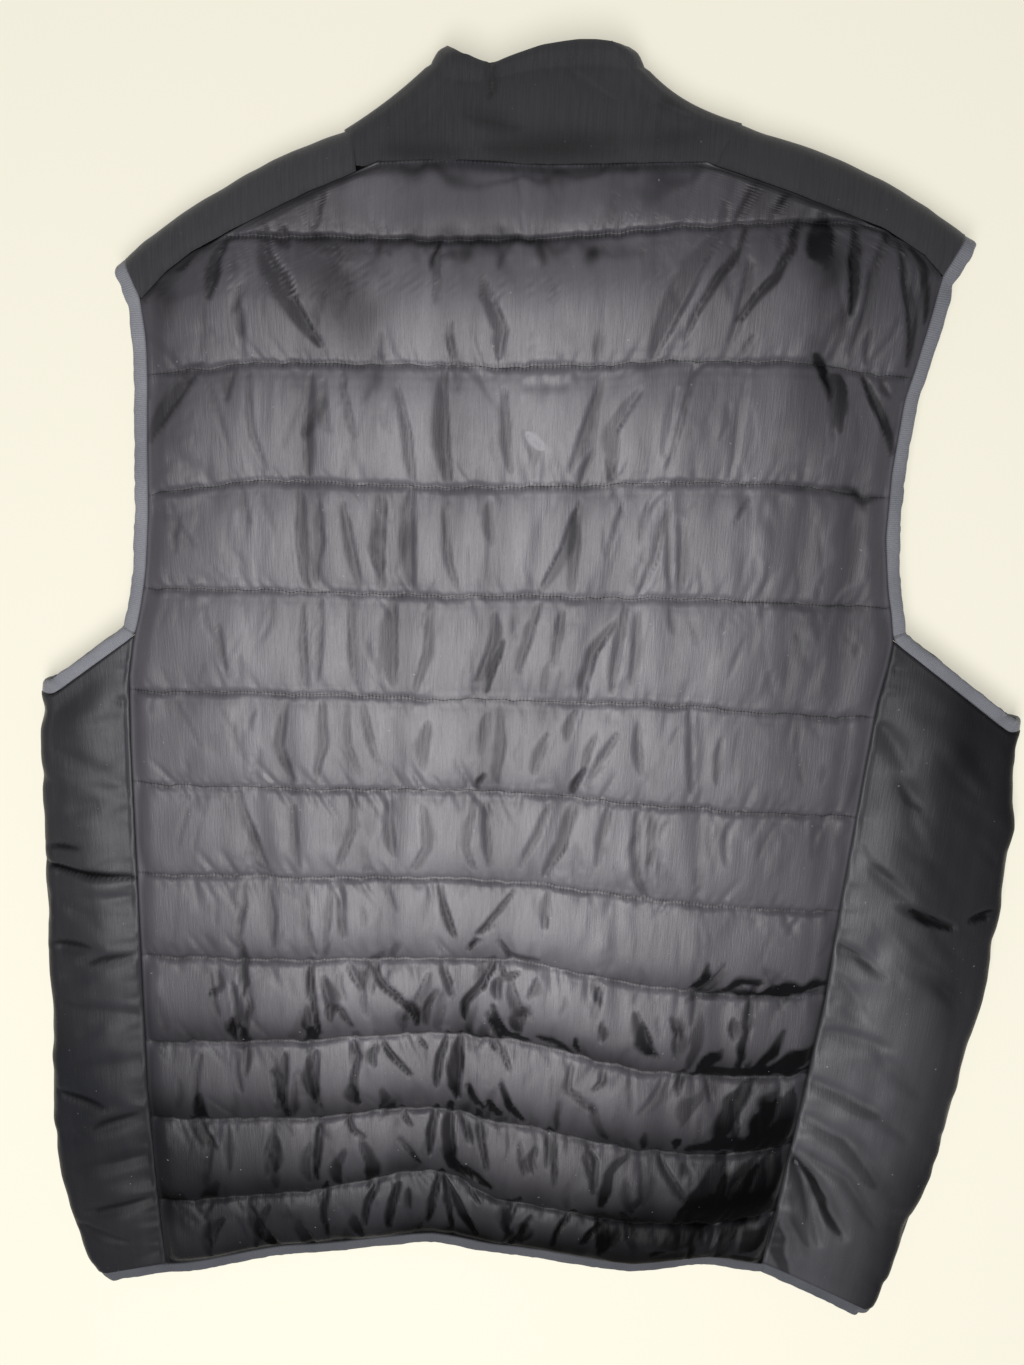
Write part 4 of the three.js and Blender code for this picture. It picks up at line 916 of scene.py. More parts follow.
def side_panel(side):
    sign = -1 if side == "left" else 1
    top_column, hem_column = (1, 3) if side == "left" else (2, 4)
    run = np.linspace(0, 1, 221)
    ends = ease(np.minimum(run, 1 - run) / 0.08)

    def height(share):
        top = np.interp(share, SIDE_ENDS[:, 0], SIDE_ENDS[:, top_column])
        hem = np.interp(share, SIDE_ENDS[:, 0], SIDE_ENDS[:, hem_column])
        return top + (hem - top) * run

    seam_x = edge_x(side, height(0)) + sign * SIDE_SEAM_GAP
    fold_x = np.interp(height(1), SIDE_FOLDS[:, 0], SIDE_FOLDS[:, 1 if side == "left" else 2])
    tangent = 1 - FOLD_RADIUS / np.abs(fold_x - seam_x)
    seam = np.stack([seam_x, height(0)], axis=-1)
    fold_y = [height(t)[i] for i, t in enumerate(tangent)]
    fold = np.stack([seam_x + (fold_x - seam_x) * tangent, fold_y], axis=-1)
    out = np.tile([sign, 0.0], (len(run), 1))
    base = EDGE_LIFT * (1 - ends)
    bulge = SIDE_BULGE * ends
    smooth = folded_rows(seam, fold, seam, out, BACK_INSIDE + SEAM_WALL, bulge, base, (52, 16, 30))
    x, y, z = smooth[..., 0], smooth[..., 1], smooth[..., 2]
    upper = ease((z - 9) / 6)
    from_seam = np.abs(x - seam_x[:, None])
    troughs = add_creases(x, y, SIDE_CREASES[side], "soft")
    low = (min(x.min(), -220) if side == "left" else 185, -375)
    high = (-225 if side == "left" else 290, 80)
    lean = 0.1 if side == "left" else -0.8
    fine = add_creases(x, y, chance_creases(41, 46, low, high, lean, (7, 14), (0.4, 1.4), (16, 40)), "soft")
    broad = 1.6 * rumple(x, y, 46, 42 + sign) + 0.7 * rumple(x, y, 17, 44)
    ruffle = 0.7 * rumple(0 * x, y, 4.5, 45) + 0.5 * rumple(0 * x, y, 11, 46)
    ruffle = np.exp(-(from_seam / 9) ** 2) * ruffle
    wave = 1.5 * rumple(0 * x, y, 34, 47) + 0.7 * rumple(0 * x, y, 12, 48)
    wave = wave * (1 - ease((z - 14) / 6)) * ease(z / 6)
    free = ease(np.minimum(run, 1 - run) / 0.03)[:, None] * ease(from_seam / 4)
    hidden = add_creases(x, y, chance_creases(51, 26, low, high, 0.2 * sign, (6, 11), (0.8, 2.2), (22, 55)))
    push = upper * ((broad - troughs - fine) * free + ruffle * free - seam_lip(from_seam)) + wave * free
    push = push - (1 - ease(z / 3)) * hidden * free * 0.8
    facing = outward(smooth, len(run) // 2, 4)
    outer = pushed(smooth, facing, push)
    rows = np.linspace(0, len(run) - 1, 45).round().astype(int)
    columns = [np.arange(0, 52, 6), np.arange(51, 69, 3), np.arange(68, 98, 7), [97]]
    columns = np.unique(np.concatenate(columns))
    few = np.ix_(rows, columns)
    at_rows = ease(np.minimum(rows, rows[::-1]) / 22)[:, None]
    at_columns = ease(np.minimum(columns, 97 - columns) / 14)[None, :]
    thick = SEAM_WALL + (SIDE_WALL - SEAM_WALL) * at_rows * at_columns
    inner = smooth[few] - facing[few] * thick[..., None]
    # Painted shade in the creases and away from the seam, on the right also towards the hem, and a painted
    # highlight just beside the seam.
    shade = add_creases(x + 2 * rumple(x, y, 12, 49), y, SIDE_SHADE_STROKES[side], "patch")
    shade += 0.06 * np.clip(troughs, 0, 3)
    low = ease((-y - 40) / 150)
    if side == "right":
        shade += 0.62 * ease((from_seam - 15 - 20 * low) / (35 + 25 * low)) + 0.2 * ease((-y - 230) / 60)
    else:
        shade += 0.15 * ease((from_seam - 10) / 40)
    seam_light = 0.3 if side == "left" else 0.1
    shade = np.clip(shade, 0, 0.88) - seam_light * np.exp(-((from_seam - 1.5) / 0.8) ** 2)
    # Two greys, the painted light grey and the centre of that painted light for this side, and the gloss.
    cloth = satin(
        "side_satin_" + side, (0.016, 0.017, 0.021, 1), (0.022, 0.021, 0.024, 1), (0.072, 0.070, 0.079, 1),
        SIDE_PAINTED_LIGHT[side], 0.5, None
    )
    panel = wall_mesh("side_panel_" + side + "_padded", outer, inner, cloth, shade=shade)
    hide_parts("side_panel_" + side)
    side_outer[side] = outer
    side_inner[side] = inner


side_panel("left")
side_panel("right")


# Quilted fronts
# Two padded halves under the back, with their outer faces on the table and the zip between them.
# They have the same rows of stitching as the back, pressed flatter by the weight of the vest.
YOKES = {
    "left": np.array([
        [330, -95, 350, -97, 290], [323.5, -113, 344, -107, 285], [316, -133, 336, -123, 276],
        [307.5, -152, 326, -141, 266], [298.5, -171, 315, -157, 257], [288.5, -188, 304, -171, 249],
        [278, -202, 295, -187, 238], [266, -213, 285.5, -202, 229],
    ], float),
    "right": np.array([
        [338, 95, 359, 98, 290], [333, 113, 354, 108, 285], [328, 132, 349, 124, 276],
        [322, 151, 343, 142, 266], [316, 171, 335, 158, 257], [309, 190, 326, 172, 249],
        [302, 205, 318, 187, 238], [290.5, 217, 311, 195, 229],
    ], float),
}
NECKLINE = np.array([[9, 238], [36, 243], [53, 249], [66, 257], [77, 266], [86, 276], [91.5, 285]], float)
FRONT_INSIDE = 9
FRONT_TOP = 285
FRONT_TURN = 205
ZIP_HALF_GAP = 9
ZIP_LIFT = 4
FRONT_ARMHOLE_INSET = 12
FRONT_ARMHOLE_TOP = 227
SEAM_GAP = 0.3

front_outer = {}
front_inner = {}
# Two greys, the painted light grey and the centre of that painted light, and the gloss.
front_satin = satin(
    "front_satin", (0.02, 0.02, 0.026, 1), (0.028, 0.026, 0.031, 1), (0.06, 0.058, 0.066, 1),
    (-0.045, 0.06, 0.02), 0.6, None
)


def front_outline(side, y):
    """The seam with the side panel, the armhole and the yoke, as x over y."""
    sign = -1 if side == "left" else 1
    tip_y = YOKES[side][-1, 4]
    armhole = FRONT_ARMHOLE_INSET * np.sin(np.pi * np.clip((y - 96) / (tip_y - 96), 0, 1))
    yoke_x = np.interp(y, YOKES[side][::-1, 4], YOKES[side][::-1, 3])
    return np.where(y >= tip_y, yoke_x, edge_x(side, y) - sign * armhole)


def front_middle(side, y):
    sign = -1 if side == "left" else 1
    neck = np.interp(y, NECKLINE[:, 1], NECKLINE[:, 0]) + SEAM_GAP
    return sign * np.where(y <= NECKLINE[0, 1], ZIP_HALF_GAP, neck)


def front_panel(side):
    sign = -1 if side == "left" else 1
    quilted = channel_steps(3, [16] * 9)[::-1]
    upper = np.linspace(0, 1, 46)[1:]
    share = np.linspace(0, 1, 91)
    grid = []
    for row in quilted:
        a = meet_edge(np.array([row]), lambda y: front_outline(side, y), sign * 200)[0]
        b = front_middle(side, float(row_y(np.array([row]), np.array([sign * 40.0]))[0]))
        x = a + (b - a) * share
        grid.append(np.stack([x, row_y(np.full(x.shape, row), x)], axis=-1))
    start_y = grid[-1][:, 1]
    for t in upper:
        turn = min(1, t / 0.27)
        level = FRONT_TURN if t <= 0.27 else FRONT_TURN + (FRONT_TOP - FRONT_TURN) * (t - 0.27) / 0.73
        y = start_y + (level - start_y) * ease(turn)
        x = front_outline(side, y[0]) + (front_middle(side, y[-1]) - front_outline(side, y[0])) * share
        grid.append(np.stack([x, y], axis=-1))
    plan = np.array(grid)
    x, y = plan[..., 0], plan[..., 1]
    width = np.abs(x[:, :1] - x[:, -1:])
    from_side = share[None, :] * width
    from_zip = (1 - share[None, :]) * width
    zip_z = np.where(y[:, -1:] <= 240, ZIP_LIFT, EDGE_LIFT)
    row = np.concatenate([quilted, np.full(len(upper), 3.0)])[:, None] * np.ones(share.shape)
    dip = np.exp(-((row - np.round(row)) * 60 / 5) ** 2) * (row < 11.7)
    dip[len(quilted):] = np.exp(-((y[len(quilted):] - start_y) / 5) ** 2)
    pleats, nearest = gathers(x, y, range(3, 12), 61 + sign)
    low = (min(x.min(), x.max()), -350)
    high = (x.max(), 270)
    wrinkles = chance_creases(71 + sign, 190, low, high, math.pi / 2, (4, 9), (0.8, 2.6), (14, 46))
    troughs = add_creases(x, y, wrinkles)
    inland = ease(from_side / 12) * ease(from_zip / 12)
    lift = (3.4 * dip + (troughs + pleats) * (1 - 0.6 * dip)) * inland
    side_lift = EDGE_LIFT * (1 - ease(from_side / 12))
    zip_lift = zip_z * (1 - ease(from_zip / 14))
    end = np.maximum(ease(1 - np.arange(len(plan)) / 3), ease(1 - np.arange(len(plan))[::-1] / 3))[:, None]
    z = np.clip(lift + side_lift + zip_lift, 0, 4.6) * (1 - end) + end * np.maximum(EDGE_LIFT, zip_lift)
    outer = np.dstack([plan, z])
    rows = np.linspace(0, len(plan) - 1, 34).round().astype(int)
    columns = np.array([0, 8, 22, 45, 68, 82, 90])
    few = np.ix_(rows, columns)
    edge = np.maximum(end[rows] > 0.5, (columns == 0)[None, :])
    inside = np.where(edge, EDGE_LIFT + SEAM_WALL, FRONT_INSIDE)
    inside = np.where((columns == 90)[None, :], zip_z[rows] + SEAM_WALL, inside)
    inner = np.dstack([plan[few], inside])
    # Where the painted shade of the stitch pits goes, beside each row of stitching.
    gather = np.exp(-(nearest / 1.9) ** 2) * inland
    panel = wall_mesh("front_" + side + "_quilted", outer, inner, front_satin, gather=gather)
    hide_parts("front_" + side)
    front_outer[side] = outer
    front_inner[side] = inner


front_panel("left")
front_panel("right")


# Shoulder yokes
# Strips of matte stretch cloth over a thin layer of wadding, folded over the shoulders. Their seams with
# the back are gathered, and the cloth has a faint upright rib.
YOKE_SEAM_GAP = 0.1

yoke_outer = {}
yoke_inner = {}


def matte_cloth(name):
    """Brushed stretch cloth: nearly black, a faint upright rib, a little dust, and painted shade and
    painted light from its shade mark.
    """
    material, tree = new_cloth(name, 0.82, 0.3, 0.25, 0.55)
    ribs = noise(tree, (1500, 35, 400), 2)
    grain = noise(tree, (1300, 1300, 1300), 3)
    patches = spread(tree, noise(tree, (18, 14, 18), 3), 0.3, 0.7)
    colour = blend(tree, patches, (0.022, 0.023, 0.026, 1), (0.032, 0.032, 0.036, 1))
    colour = blend(tree, spread(tree, ribs, 0.35, 0.65, 0, 0.45), colour, (0.046, 0.046, 0.051, 1))
    # Painted shade and painted light: the shade mark darkens the colour, and lightens it where it is below
    # zero.
    shade = marked(tree, "shade")
    colour = blend(tree, 1.0, colour, maths(tree, "SUBTRACT", 1.0, shade), "MULTIPLY")
    dust = maths(tree, "MULTIPLY", spread(tree, noise(tree, (520, 460, 520), 1), 0.78, 0.83), 0.3)
    colour = blend(tree, dust, colour, (0.3, 0.3, 0.31, 1))
    rough = maths(tree, "MULTIPLY_ADD", grain, 0.2)
    rough.node.inputs[2].default_value = 0.72
    skin = dents(tree, grain, 0.09 * MM, 1.0, dents(tree, ribs, 0.12 * MM))
    return set_cloth(material, Base_Color=colour, Roughness=rough, Normal=skin)


matte = matte_cloth("matte_stretch_cloth")


def yoke(side):
    rows = resampled(YOKES[side], 61)
    seam_y, fold_x, fold_y, front_x, front_y = rows.T
    seam = np.stack([edge_x(side, seam_y), seam_y], axis=-1)
    fold = np.stack([fold_x, fold_y], axis=-1)
    out = (fold - seam) / np.linalg.norm(fold - seam, axis=1, keepdims=True)
    start = seam + out * YOKE_SEAM_GAP
    tangent = fold - out * FOLD_RADIUS
    front = np.stack([front_x, front_y], axis=-1)
    inward = (tangent - front) / np.linalg.norm(tangent - front, axis=1, keepdims=True)
    base = np.zeros(len(rows))
    base[0] = base[-1] = EDGE_LIFT
    smooth = folded_rows(
        start, tangent, front + inward * YOKE_SEAM_GAP, out, BACK_INSIDE + SEAM_WALL,
        np.full(len(rows), 1.0), base, (16, 12, 14)
    )
    x, y, z = smooth[..., 0], smooth[..., 1], smooth[..., 2]
    facing = outward(smooth, 30, 3)
    from_seam = np.linalg.norm(smooth[..., :2] - seam[:, None], axis=-1)
    free = ease(np.minimum(np.arange(61), np.arange(61)[::-1]) / 3)[:, None]
    pucker = np.exp(-(from_seam / 4) ** 2) * 0.45 * rumple(x, 0 * y, 3.6, 83) * ease((z - 9) / 4)
    soft = 0.5 * rumple(x, y, 22, 81) + 0.25 * rumple(x, y, 9, 82)
    lip = 0.5 * np.exp(-(from_seam / 1.2) ** 2) * ease((z - 9) / 4)
    push = (soft * ease(z / 4) + pucker) * free - lip
    outer = pushed(smooth, facing, push)
    columns = np.unique(np.concatenate([np.arange(0, 16, 5), np.arange(15, 28, 2), [32, 37, 41]]))
    few = np.ix_(np.arange(0, 61, 4), columns)
    inner = smooth[few] - facing[few] * SEAM_WALL
    # Painted light: the left yoke is painted lighter, under the window, and the right one a little darker.
    wear_and_painted_light = np.full(x.shape, -0.25 if side == "left" else 0.05)
    strip = wall_mesh("shoulder_" + side + "_yoke", outer, inner, matte, shade=wear_and_painted_light)
    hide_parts("shoulder_" + side)
    yoke_outer[side] = outer
    yoke_inner[side] = inner


yoke("left")
yoke("right")


# Stand collar
# A ring of the same matte cloth from one side of the zip round the neck to the other, laid flat with the
# vest. Its upper edge has a notch, and a crease runs down from it.
COLLAR_SEAM_GAP = -4
COLLAR_ROLL = 4
COLLAR_TOP = np.array([
    [0, -38, 384], [0.1, -33, 382], [0.2, -26, 380], [0.32, -17, 384],
    [0.5, -2, 389], [0.7, 15, 392], [0.85, 24, 392.3], [1, 30.5, 391.8],
])
COLLAR_FRONT_TOP = np.array([[0, 9, 310], [0.25, 18, 317], [0.5, 27, 331], [0.75, 33, 350], [1, 36, 368]])
COLLAR_CORNERS = {
    "left": {
        "base": (-95, 350), "top": (-48.5, 388.5), "lean": -0.2, "top_lean": (-0.88, 0.47),
        "bow": (1.0, -1.5),
    },
    "right": {
        "base": (95, 359), "top": (41.5, 390), "lean": 0.36, "top_lean": (1, -0.15), "bow": (-3.5, -4.0),
    },
}
# Darker places by the notch, under the roll and along the seam: width, share of light lost, places.
COLLAR_SHADES = [
    (16, 0.6, (-30, 342), (0, 344), (38, 347)), (10, 0.4, (-78, 340), (-40, 340)),
    (9, 0.45, (-38, 357), (-12, 353)), (5, 0.5, (-27, 381), (-26, 364)), (7, 0.4, (56, 364), (72, 369)),
    (10, 0.3, (44, 347), (84, 353)),
]


def collar_row(level):
    lift = float(ease(level / 0.12))
    base_z = EDGE_LIFT * (1 - lift)

    def corner(side):
        sign = -1 if side == "left" else 1
        c = COLLAR_CORNERS[side]
        base = np.array([c["base"][0] - sign * COLLAR_SEAM_GAP, c["base"][1]])
        at = base * (1 - level) + np.array(c["top"]) * level
        at = at + np.array(c["bow"]) * math.sin(math.pi * level)
        lean = np.array([c["lean"], 0.95]) * (1 - level) + np.array(c["top_lean"]) * level
        lean = lean / np.linalg.norm(lean)
        return lean, at - lean * FOLD_RADIUS

    def front_half(side):
        sign = -1 if side == "left" else 1
        share = np.linspace(0, 1, len(NECKLINE))
        top_x = np.interp(share, COLLAR_FRONT_TOP[:, 0], COLLAR_FRONT_TOP[:, 1])
        x = NECKLINE[:, 0] * (1 - level) + top_x * level
        top_y = np.interp(share, COLLAR_FRONT_TOP[:, 0], COLLAR_FRONT_TOP[:, 2])
        y = (NECKLINE[:, 1] + SEAM_GAP) * (1 - level) + top_y * level
        z = np.where(share == 0, ZIP_LIFT, base_z)
        centre = corner(side)[1]
        beside = [centre[0] + sign * (1.6 - 3.1 * level), centre[1] - (38 - 30 * level), base_z]
        return np.vstack([np.stack([sign * x, y, z], axis=-1), beside])

    def turn(side):
        lean, centre = corner(side)
        angle = np.linspace(-np.pi / 2, np.pi / 2, 7)
        reach = FOLD_RADIUS * np.cos(angle)
        radius = FOLD_RADIUS - base_z / 2
        z = base_z + radius + radius * np.sin(angle)
        return np.stack([centre[0] + lean[0] * reach, centre[1] + lean[1] * reach, z], axis=-1)

    share = np.linspace(0, 1, 15)
    x = -95 + 188 * share
    base_y = line_y(np.zeros(15, int), x) - 1.2
    top_x = np.interp(share, COLLAR_TOP[:, 0], COLLAR_TOP[:, 1])
    top_y = np.interp(share, COLLAR_TOP[:, 0], COLLAR_TOP[:, 2])
    bow = math.sin(math.pi * level) * np.outer(ease((share - 0.55) / 0.45), COLLAR_CORNERS["right"]["bow"])
    bow += math.sin(math.pi * level) * np.outer(ease((0.45 - share) / 0.45), COLLAR_CORNERS["left"]["bow"])
    roll = COLLAR_ROLL * np.sin(np.pi * min(1, level * 1.25)) * np.sin(np.pi * share)
    z = BACK_INSIDE + SEAM_WALL + roll
    plan = np.stack([x * (1 - level) + top_x * level, base_y * (1 - level) + top_y * level], axis=-1) + bow
    behind = np.column_stack([plan, z])
    return np.vstack([
        front_half("left"), turn("left"), behind, turn("right")[::-1], front_half("right")[::-1],
    ])


def smoothed(grid, times):
    for _ in range(times):
        middle = (grid[:, :-2] + 2 * grid[:, 1:-1] + grid[:, 2:]) / 4
        grid = np.concatenate([grid[:, :1], middle, grid[:, -1:]], axis=1)
    return grid


def collar():
    coarse = np.array([collar_row(level) for level in np.linspace(0, 1, 41)])
    spots = np.linspace(0, coarse.shape[1] - 1, 265)
    i = np.clip(spots.astype(int), 0, coarse.shape[1] - 2)
    f = (spots - i)[None, :, None]
    smooth = smoothed(coarse[:, i] * (1 - f) + coarse[:, i + 1] * f, 6)
    facing = outward(smooth, 20, 132)
    x, y, z = smooth[..., 0], smooth[..., 1], smooth[..., 2]
    level = np.linspace(0, 1, 41)[:, None]
    upper = ease((z - 12) / 5)
    creases = [
        (5, 2.6, (-27, 381), (-26, 366)), (8, 1.6, (-36, 357), (-11, 353)),
        (11, 1.8, (-26, 344), (38, 345)), (6, 1.2, (57, 365), (72, 360)),
        (7, 1.0, (-60, 350), (-44, 372)), (6, 0.9, (10, 380), (34, 366)),
    ]
    troughs = add_creases(x, y, creases)
    soft = 0.7 * rumple(x, y, 26, 91) + 0.3 * rumple(x, y, 10, 92)
    pucker = np.exp(-(level * 50 / 4) ** 2) * 0.6 * rumple(x, 0 * y, 3.4, 93)
    lip = 1.2 * np.exp(-(level * 50 / 1.6) ** 2)
    roll = 1.4 * np.exp(-((level - 0.93) * 50 / 3) ** 2)
    hem_line = 0.7 * np.exp(-((level - 0.82) * 50 / 1.2) ** 2)
    free = ease(np.minimum(np.arange(265), np.arange(265)[::-1]) / 4)[None, :]
    push = upper * (soft - troughs + pucker) * free - lip * upper + (roll - hem_line) * ease(z / 4) * free
    outer = pushed(smooth, facing, push)
    few = np.ix_(np.arange(0, 41, 4), np.arange(0, 265, 4))
    inner = smooth[few] - facing[few] * SEAM_WALL
    shade = add_creases(x + 3 * rumple(x, y, 9, 94), y, COLLAR_SHADES, "soft") * upper
    ring = wall_mesh("collar_stand", outer, inner, matte, shade=np.clip(shade, 0, 0.8))
    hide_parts("collar")


collar()


# Bindings
# Ribbed elastic folded over the armhole and hem edges and sewn down, about 8 mm wide. It pulls the edge in
# a little, so it ripples.
BINDING = 7.5
HEM_BINDING = 8.5
HEM_SEAM_GAP = 0.5
BINDING_STEP = 1.6
RIB_PITCH = 1.1


def ribbed_elastic(name, dark, light):
    """Grey elastic with fine cross ribs, paler where the ribs are rubbed."""
    material, tree = new_cloth(name, 0.7, 0.35, 0.25, 0.4)
    grain = noise(tree, (1500, 1500, 1500), 2)
    patches = spread(tree, noise(tree, (30, 30, 30), 2), 0.3, 0.7)
    along = marked(tree, "along")
    rib = maths(tree, "SINE", maths(tree, "MULTIPLY", along, 2 * math.pi / RIB_PITCH))
    rib = spread(tree, rib, -1, 1)
    colour = blend(tree, patches, dark, light)
    colour = blend(tree, maths(tree, "MULTIPLY", rib, 0.35), colour, (0.45, 0.46, 0.5, 1), "MULTIPLY")
    colour = blend(tree, spread(tree, grain, 0.4, 0.7, 0, 0.3), colour, (1.8, 1.8, 1.8, 1), "MULTIPLY")
    skin = dents(tree, grain, 0.1 * MM, 1.0, dents(tree, rib, -0.12 * MM))
    return set_cloth(material, Base_Color=colour, Normal=skin)


# Painted light: the same elastic is painted lighter at the left armhole, under the window, than at the
# right; the hem's is darker still.
armhole_elastic = {
    "left": ribbed_elastic("armhole_elastic_left", (0.22, 0.224, 0.25, 1), (0.28, 0.285, 0.315, 1)),
    "right": ribbed_elastic("armhole_elastic_right", (0.17, 0.173, 0.195, 1), (0.215, 0.22, 0.245, 1)),
}
hem_elastic = ribbed_elastic("hem_elastic", (0.07, 0.073, 0.085, 1), (0.095, 0.098, 0.112, 1))


def even_run(points, step):
    """The run at even steps, with its own small wobbles taken out."""
    distance = np.concatenate([[0], np.cumsum(np.linalg.norm(np.diff(points[:, :3], axis=0), axis=1))])
    count = max(8, int(distance[-1] / step))
    at = np.linspace(0, distance[-1], count)
    return np.stack([np.interp(at, distance, points[:, k]) for k in range(points.shape[1])], axis=-1)


def binding(name, node, cloth, out, ins, width, gap, closed, towards, seed):
    run = even_run(np.hstack([out, ins]), BINDING_STEP)
    for _ in range(5):
        if closed:
            run = (np.roll(run, 1, axis=0) + 2 * run + np.roll(run, -1, axis=0)) / 4
        else:
            run[1:-1] = (run[:-2] + 2 * run[1:-1] + run[2:]) / 4
    out, ins = run[:, :3], run[:, 3:]
    middle = (out + ins) / 2
    if closed:
        tangent = np.roll(middle, -1, axis=0) - np.roll(middle, 1, axis=0)
    else:
        tangent = np.gradient(middle, axis=0)
    up = (out - ins) / np.linalg.norm(out - ins, axis=1, keepdims=True)
    across = np.cross(up, tangent)
    across /= np.linalg.norm(across, axis=1, keepdims=True)
    across *= np.sign(across[0, 0] * towards[0] + across[0, 1] * towards[1])
    along = np.arange(len(run)) * BINDING_STEP
    ripple = 1 + 0.05 * rumple(along, 0 * along, 7, seed) + 0.035 * rumple(along, 0 * along, 3, seed + 1)
    swell = 1 + 0.10 * rumple(along, 0 * along, 9, seed + 2)
    angle = np.linspace(np.pi / 2, -np.pi / 2, 9)
    section = [(0.0, 0.86), (0.12, 1.02), (0.45, 1.0)]
    section += [(0.62 + 0.38 * math.cos(a), 0.98 * math.sin(a)) for a in angle]
    section += [(0.45, -1.0), (0.12, -1.02), (0.0, -0.86)]
    rings = []
    for reach, side in section:
        shift = gap + (width * ripple * reach)
        rings.append(middle + across * shift[:, None] + up * (side * SEAM_WALL / 2 * swell)[:, None])
    grid = np.stack(rings, axis=1)
    grid[..., 2] = np.maximum(grid[..., 2], 0)
    stations, around = grid.shape[:2]
    number = np.arange(stations * around).reshape(stations, around)
    faces = []
    for i in range(stations if closed else stations - 1):
        here = number[i].tolist()
        after = number[(i + 1) % stations].tolist()
        for k in range(around):
            beside = (k + 1) % around
            faces.append([here[k], here[beside], after[beside], after[k]])
    if not closed:
        faces.append([int(v) for v in number[0][::-1]])
        faces.append([int(v) for v in number[-1]])
    marks = {"along": np.repeat(along, around)}
    band = piece(name, grid.reshape(-1, 3) * MM, faces, cloth, marks)
    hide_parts(node)


def edge_of(outer, inner, column, rows):
    """Matching outer and inner points down one edge of a panel, where the inner skin has fewer points."""
    out = outer[:, column]
    ins = resampled(inner[:, column], len(out))
    return out[rows], ins[rows]


def end_of(outer, inner, row):
    return outer[row], resampled(inner[row], outer.shape[1])


def armhole_binding(side):
    sign = -1 if side == "left" else 1
    seam_top = SIDE_ENDS[0, 1 if side == "left" else 2]
    seam_y = YOKES[side][-1, 0]
    column = 0 if side == "left" else -1
    rows = (back_outer[:, column, 1] > seam_top + 2) & (back_outer[:, column, 1] < seam_y - 2)
    up = [part[::-1] for part in edge_of(back_outer, back_inner, column, rows)]
    over = end_of(yoke_outer[side], yoke_inner[side], -1)
    front_y = front_outer[side][:, 0, 1]
    rows = (front_y > seam_top + 2) & (front_y < FRONT_ARMHOLE_TOP)
    down = [part[::-1] for part in edge_of(front_outer[side], front_inner[side], 0, rows)]
    under = [part[::-1] for part in end_of(side_outer[side], side_inner[side], 0)]
    out, ins = (np.concatenate(skin) for skin in zip(up, over, down, under))
    name = "armhole_binding_" + side
    cloth = armhole_elastic[side]
    binding(name + "_ribbed", name, cloth, out, ins, BINDING, SEAM_GAP, True, (sign, 0), 101)


armhole_binding("left")
armhole_binding("right")

hem_runs = []
for side, way in (("left", -1), ("right", 1)):
    front_end = end_of(front_outer[side], front_inner[side], 0)
    side_end = end_of(side_outer[side], side_inner[side], -1)
    hem_runs.append([(front[::way], beside[::way]) for front, beside in zip(front_end, side_end)])
back_end = (back_outer[-1], back_outer[-1] - np.array([0, 0, SEAM_WALL]))
hem_out, hem_ins = (
    np.concatenate([left_run[0], left_run[1], middle_run, right_run[1], right_run[0]])
    for left_run, middle_run, right_run in zip(hem_runs[0], back_end, hem_runs[1])
)
binding(
    "hem_binding_ribbed", "hem_binding", hem_elastic, hem_out, hem_ins, HEM_BINDING, HEM_SEAM_GAP, False,
    (0, -1), 111
)


# Stitching
# Dark polyester thread. Each row through the back is a line of short lockstitches sunk into the gathered
# groove, deeper from the seventh row on.
STITCH_LENGTH = 1.9
THREAD_RADIUS = 0.18
STITCH_SINK = 0.05
LOW_STITCH_SINK = 0.35


def thread_material():
    material, tree = new_cloth("dark_thread", 0.7, 0.25, 0.1, 0.4)
    twist = noise(tree, (900, 2600, 2600), 2)
    colour = blend(tree, twist, (0.005, 0.005, 0.007, 1), (0.02, 0.02, 0.024, 1))
    return set_cloth(material, Base_Color=colour, Normal=dents(tree, twist, 0.06 * MM))


thread = thread_material()


def stitches(name, runs, length, pitch, radius):
    """Short humped threads along each run of places, all in one mesh."""
    points = []
    faces = []
    around = 6
    profile = [(-0.5, 0.35, -0.5), (-0.36, 0.9, 0.1), (0.0, 1.0, 0.35), (0.36, 0.9, 0.1), (0.5, 0.35, -0.5)]
    for run in runs:
        run = even_run(run, pitch)
        ahead = np.gradient(run, axis=0)
        ahead /= np.linalg.norm(ahead, axis=1, keepdims=True)
        for at, way in zip(run, ahead):
            aside = np.cross([0, 0, 1], way)
            aside /= np.linalg.norm(aside)
            up = np.cross(way, aside)
            first = len(points)
            for reach, size, hump in profile:
                for k in range(around):
                    angle = 2 * math.pi * k / around
                    off = aside * math.cos(angle) + up * math.sin(angle)
                    points.append(at + way * reach * length + up * hump * radius + off * size * radius)
            for i in range(len(profile) - 1):
                for k in range(around):
                    a = first + i * around + k
                    b = first + i * around + (k + 1) % around
                    faces.append([a, b, b + around, a + around])
            faces.append([first + k for k in range(around)][::-1])
            faces.append([first + (len(profile) - 1) * around + k for k in range(around)])
    rows = piece(name, np.array(points) * MM, faces, thread)
    return rows


stitch_runs = []
for line in range(1, 12):
    sink = STITCH_SINK if line < 7 else LOW_STITCH_SINK
    run = back_outer[int(np.argmin(np.abs(back_rows - line))), 2:-2]
    stitch_runs.append(run - np.array([0, 0, sink]))
stitches("back_stitching", stitch_runs, STITCH_LENGTH, TICK, THREAD_RADIUS)


# Zip
# A woven tape on each front, a row of moulded teeth along each tape, and the slider at the collar.
TAPE_INNER = 1.2
TAPE_OUTER = 8.6
TAPE_BOTTOM = 6
TAPE_THICK = 1.2
TAPE_MIDDLE = TAPE_BOTTOM + TAPE_THICK / 2
TAPE_HEM_Y = -338
COLLAR_FRONT_TOP_Y = 310
SLIDER_Y = 298
TOOTH_PITCH = 2.8
WEAVE_PITCH = 0.9


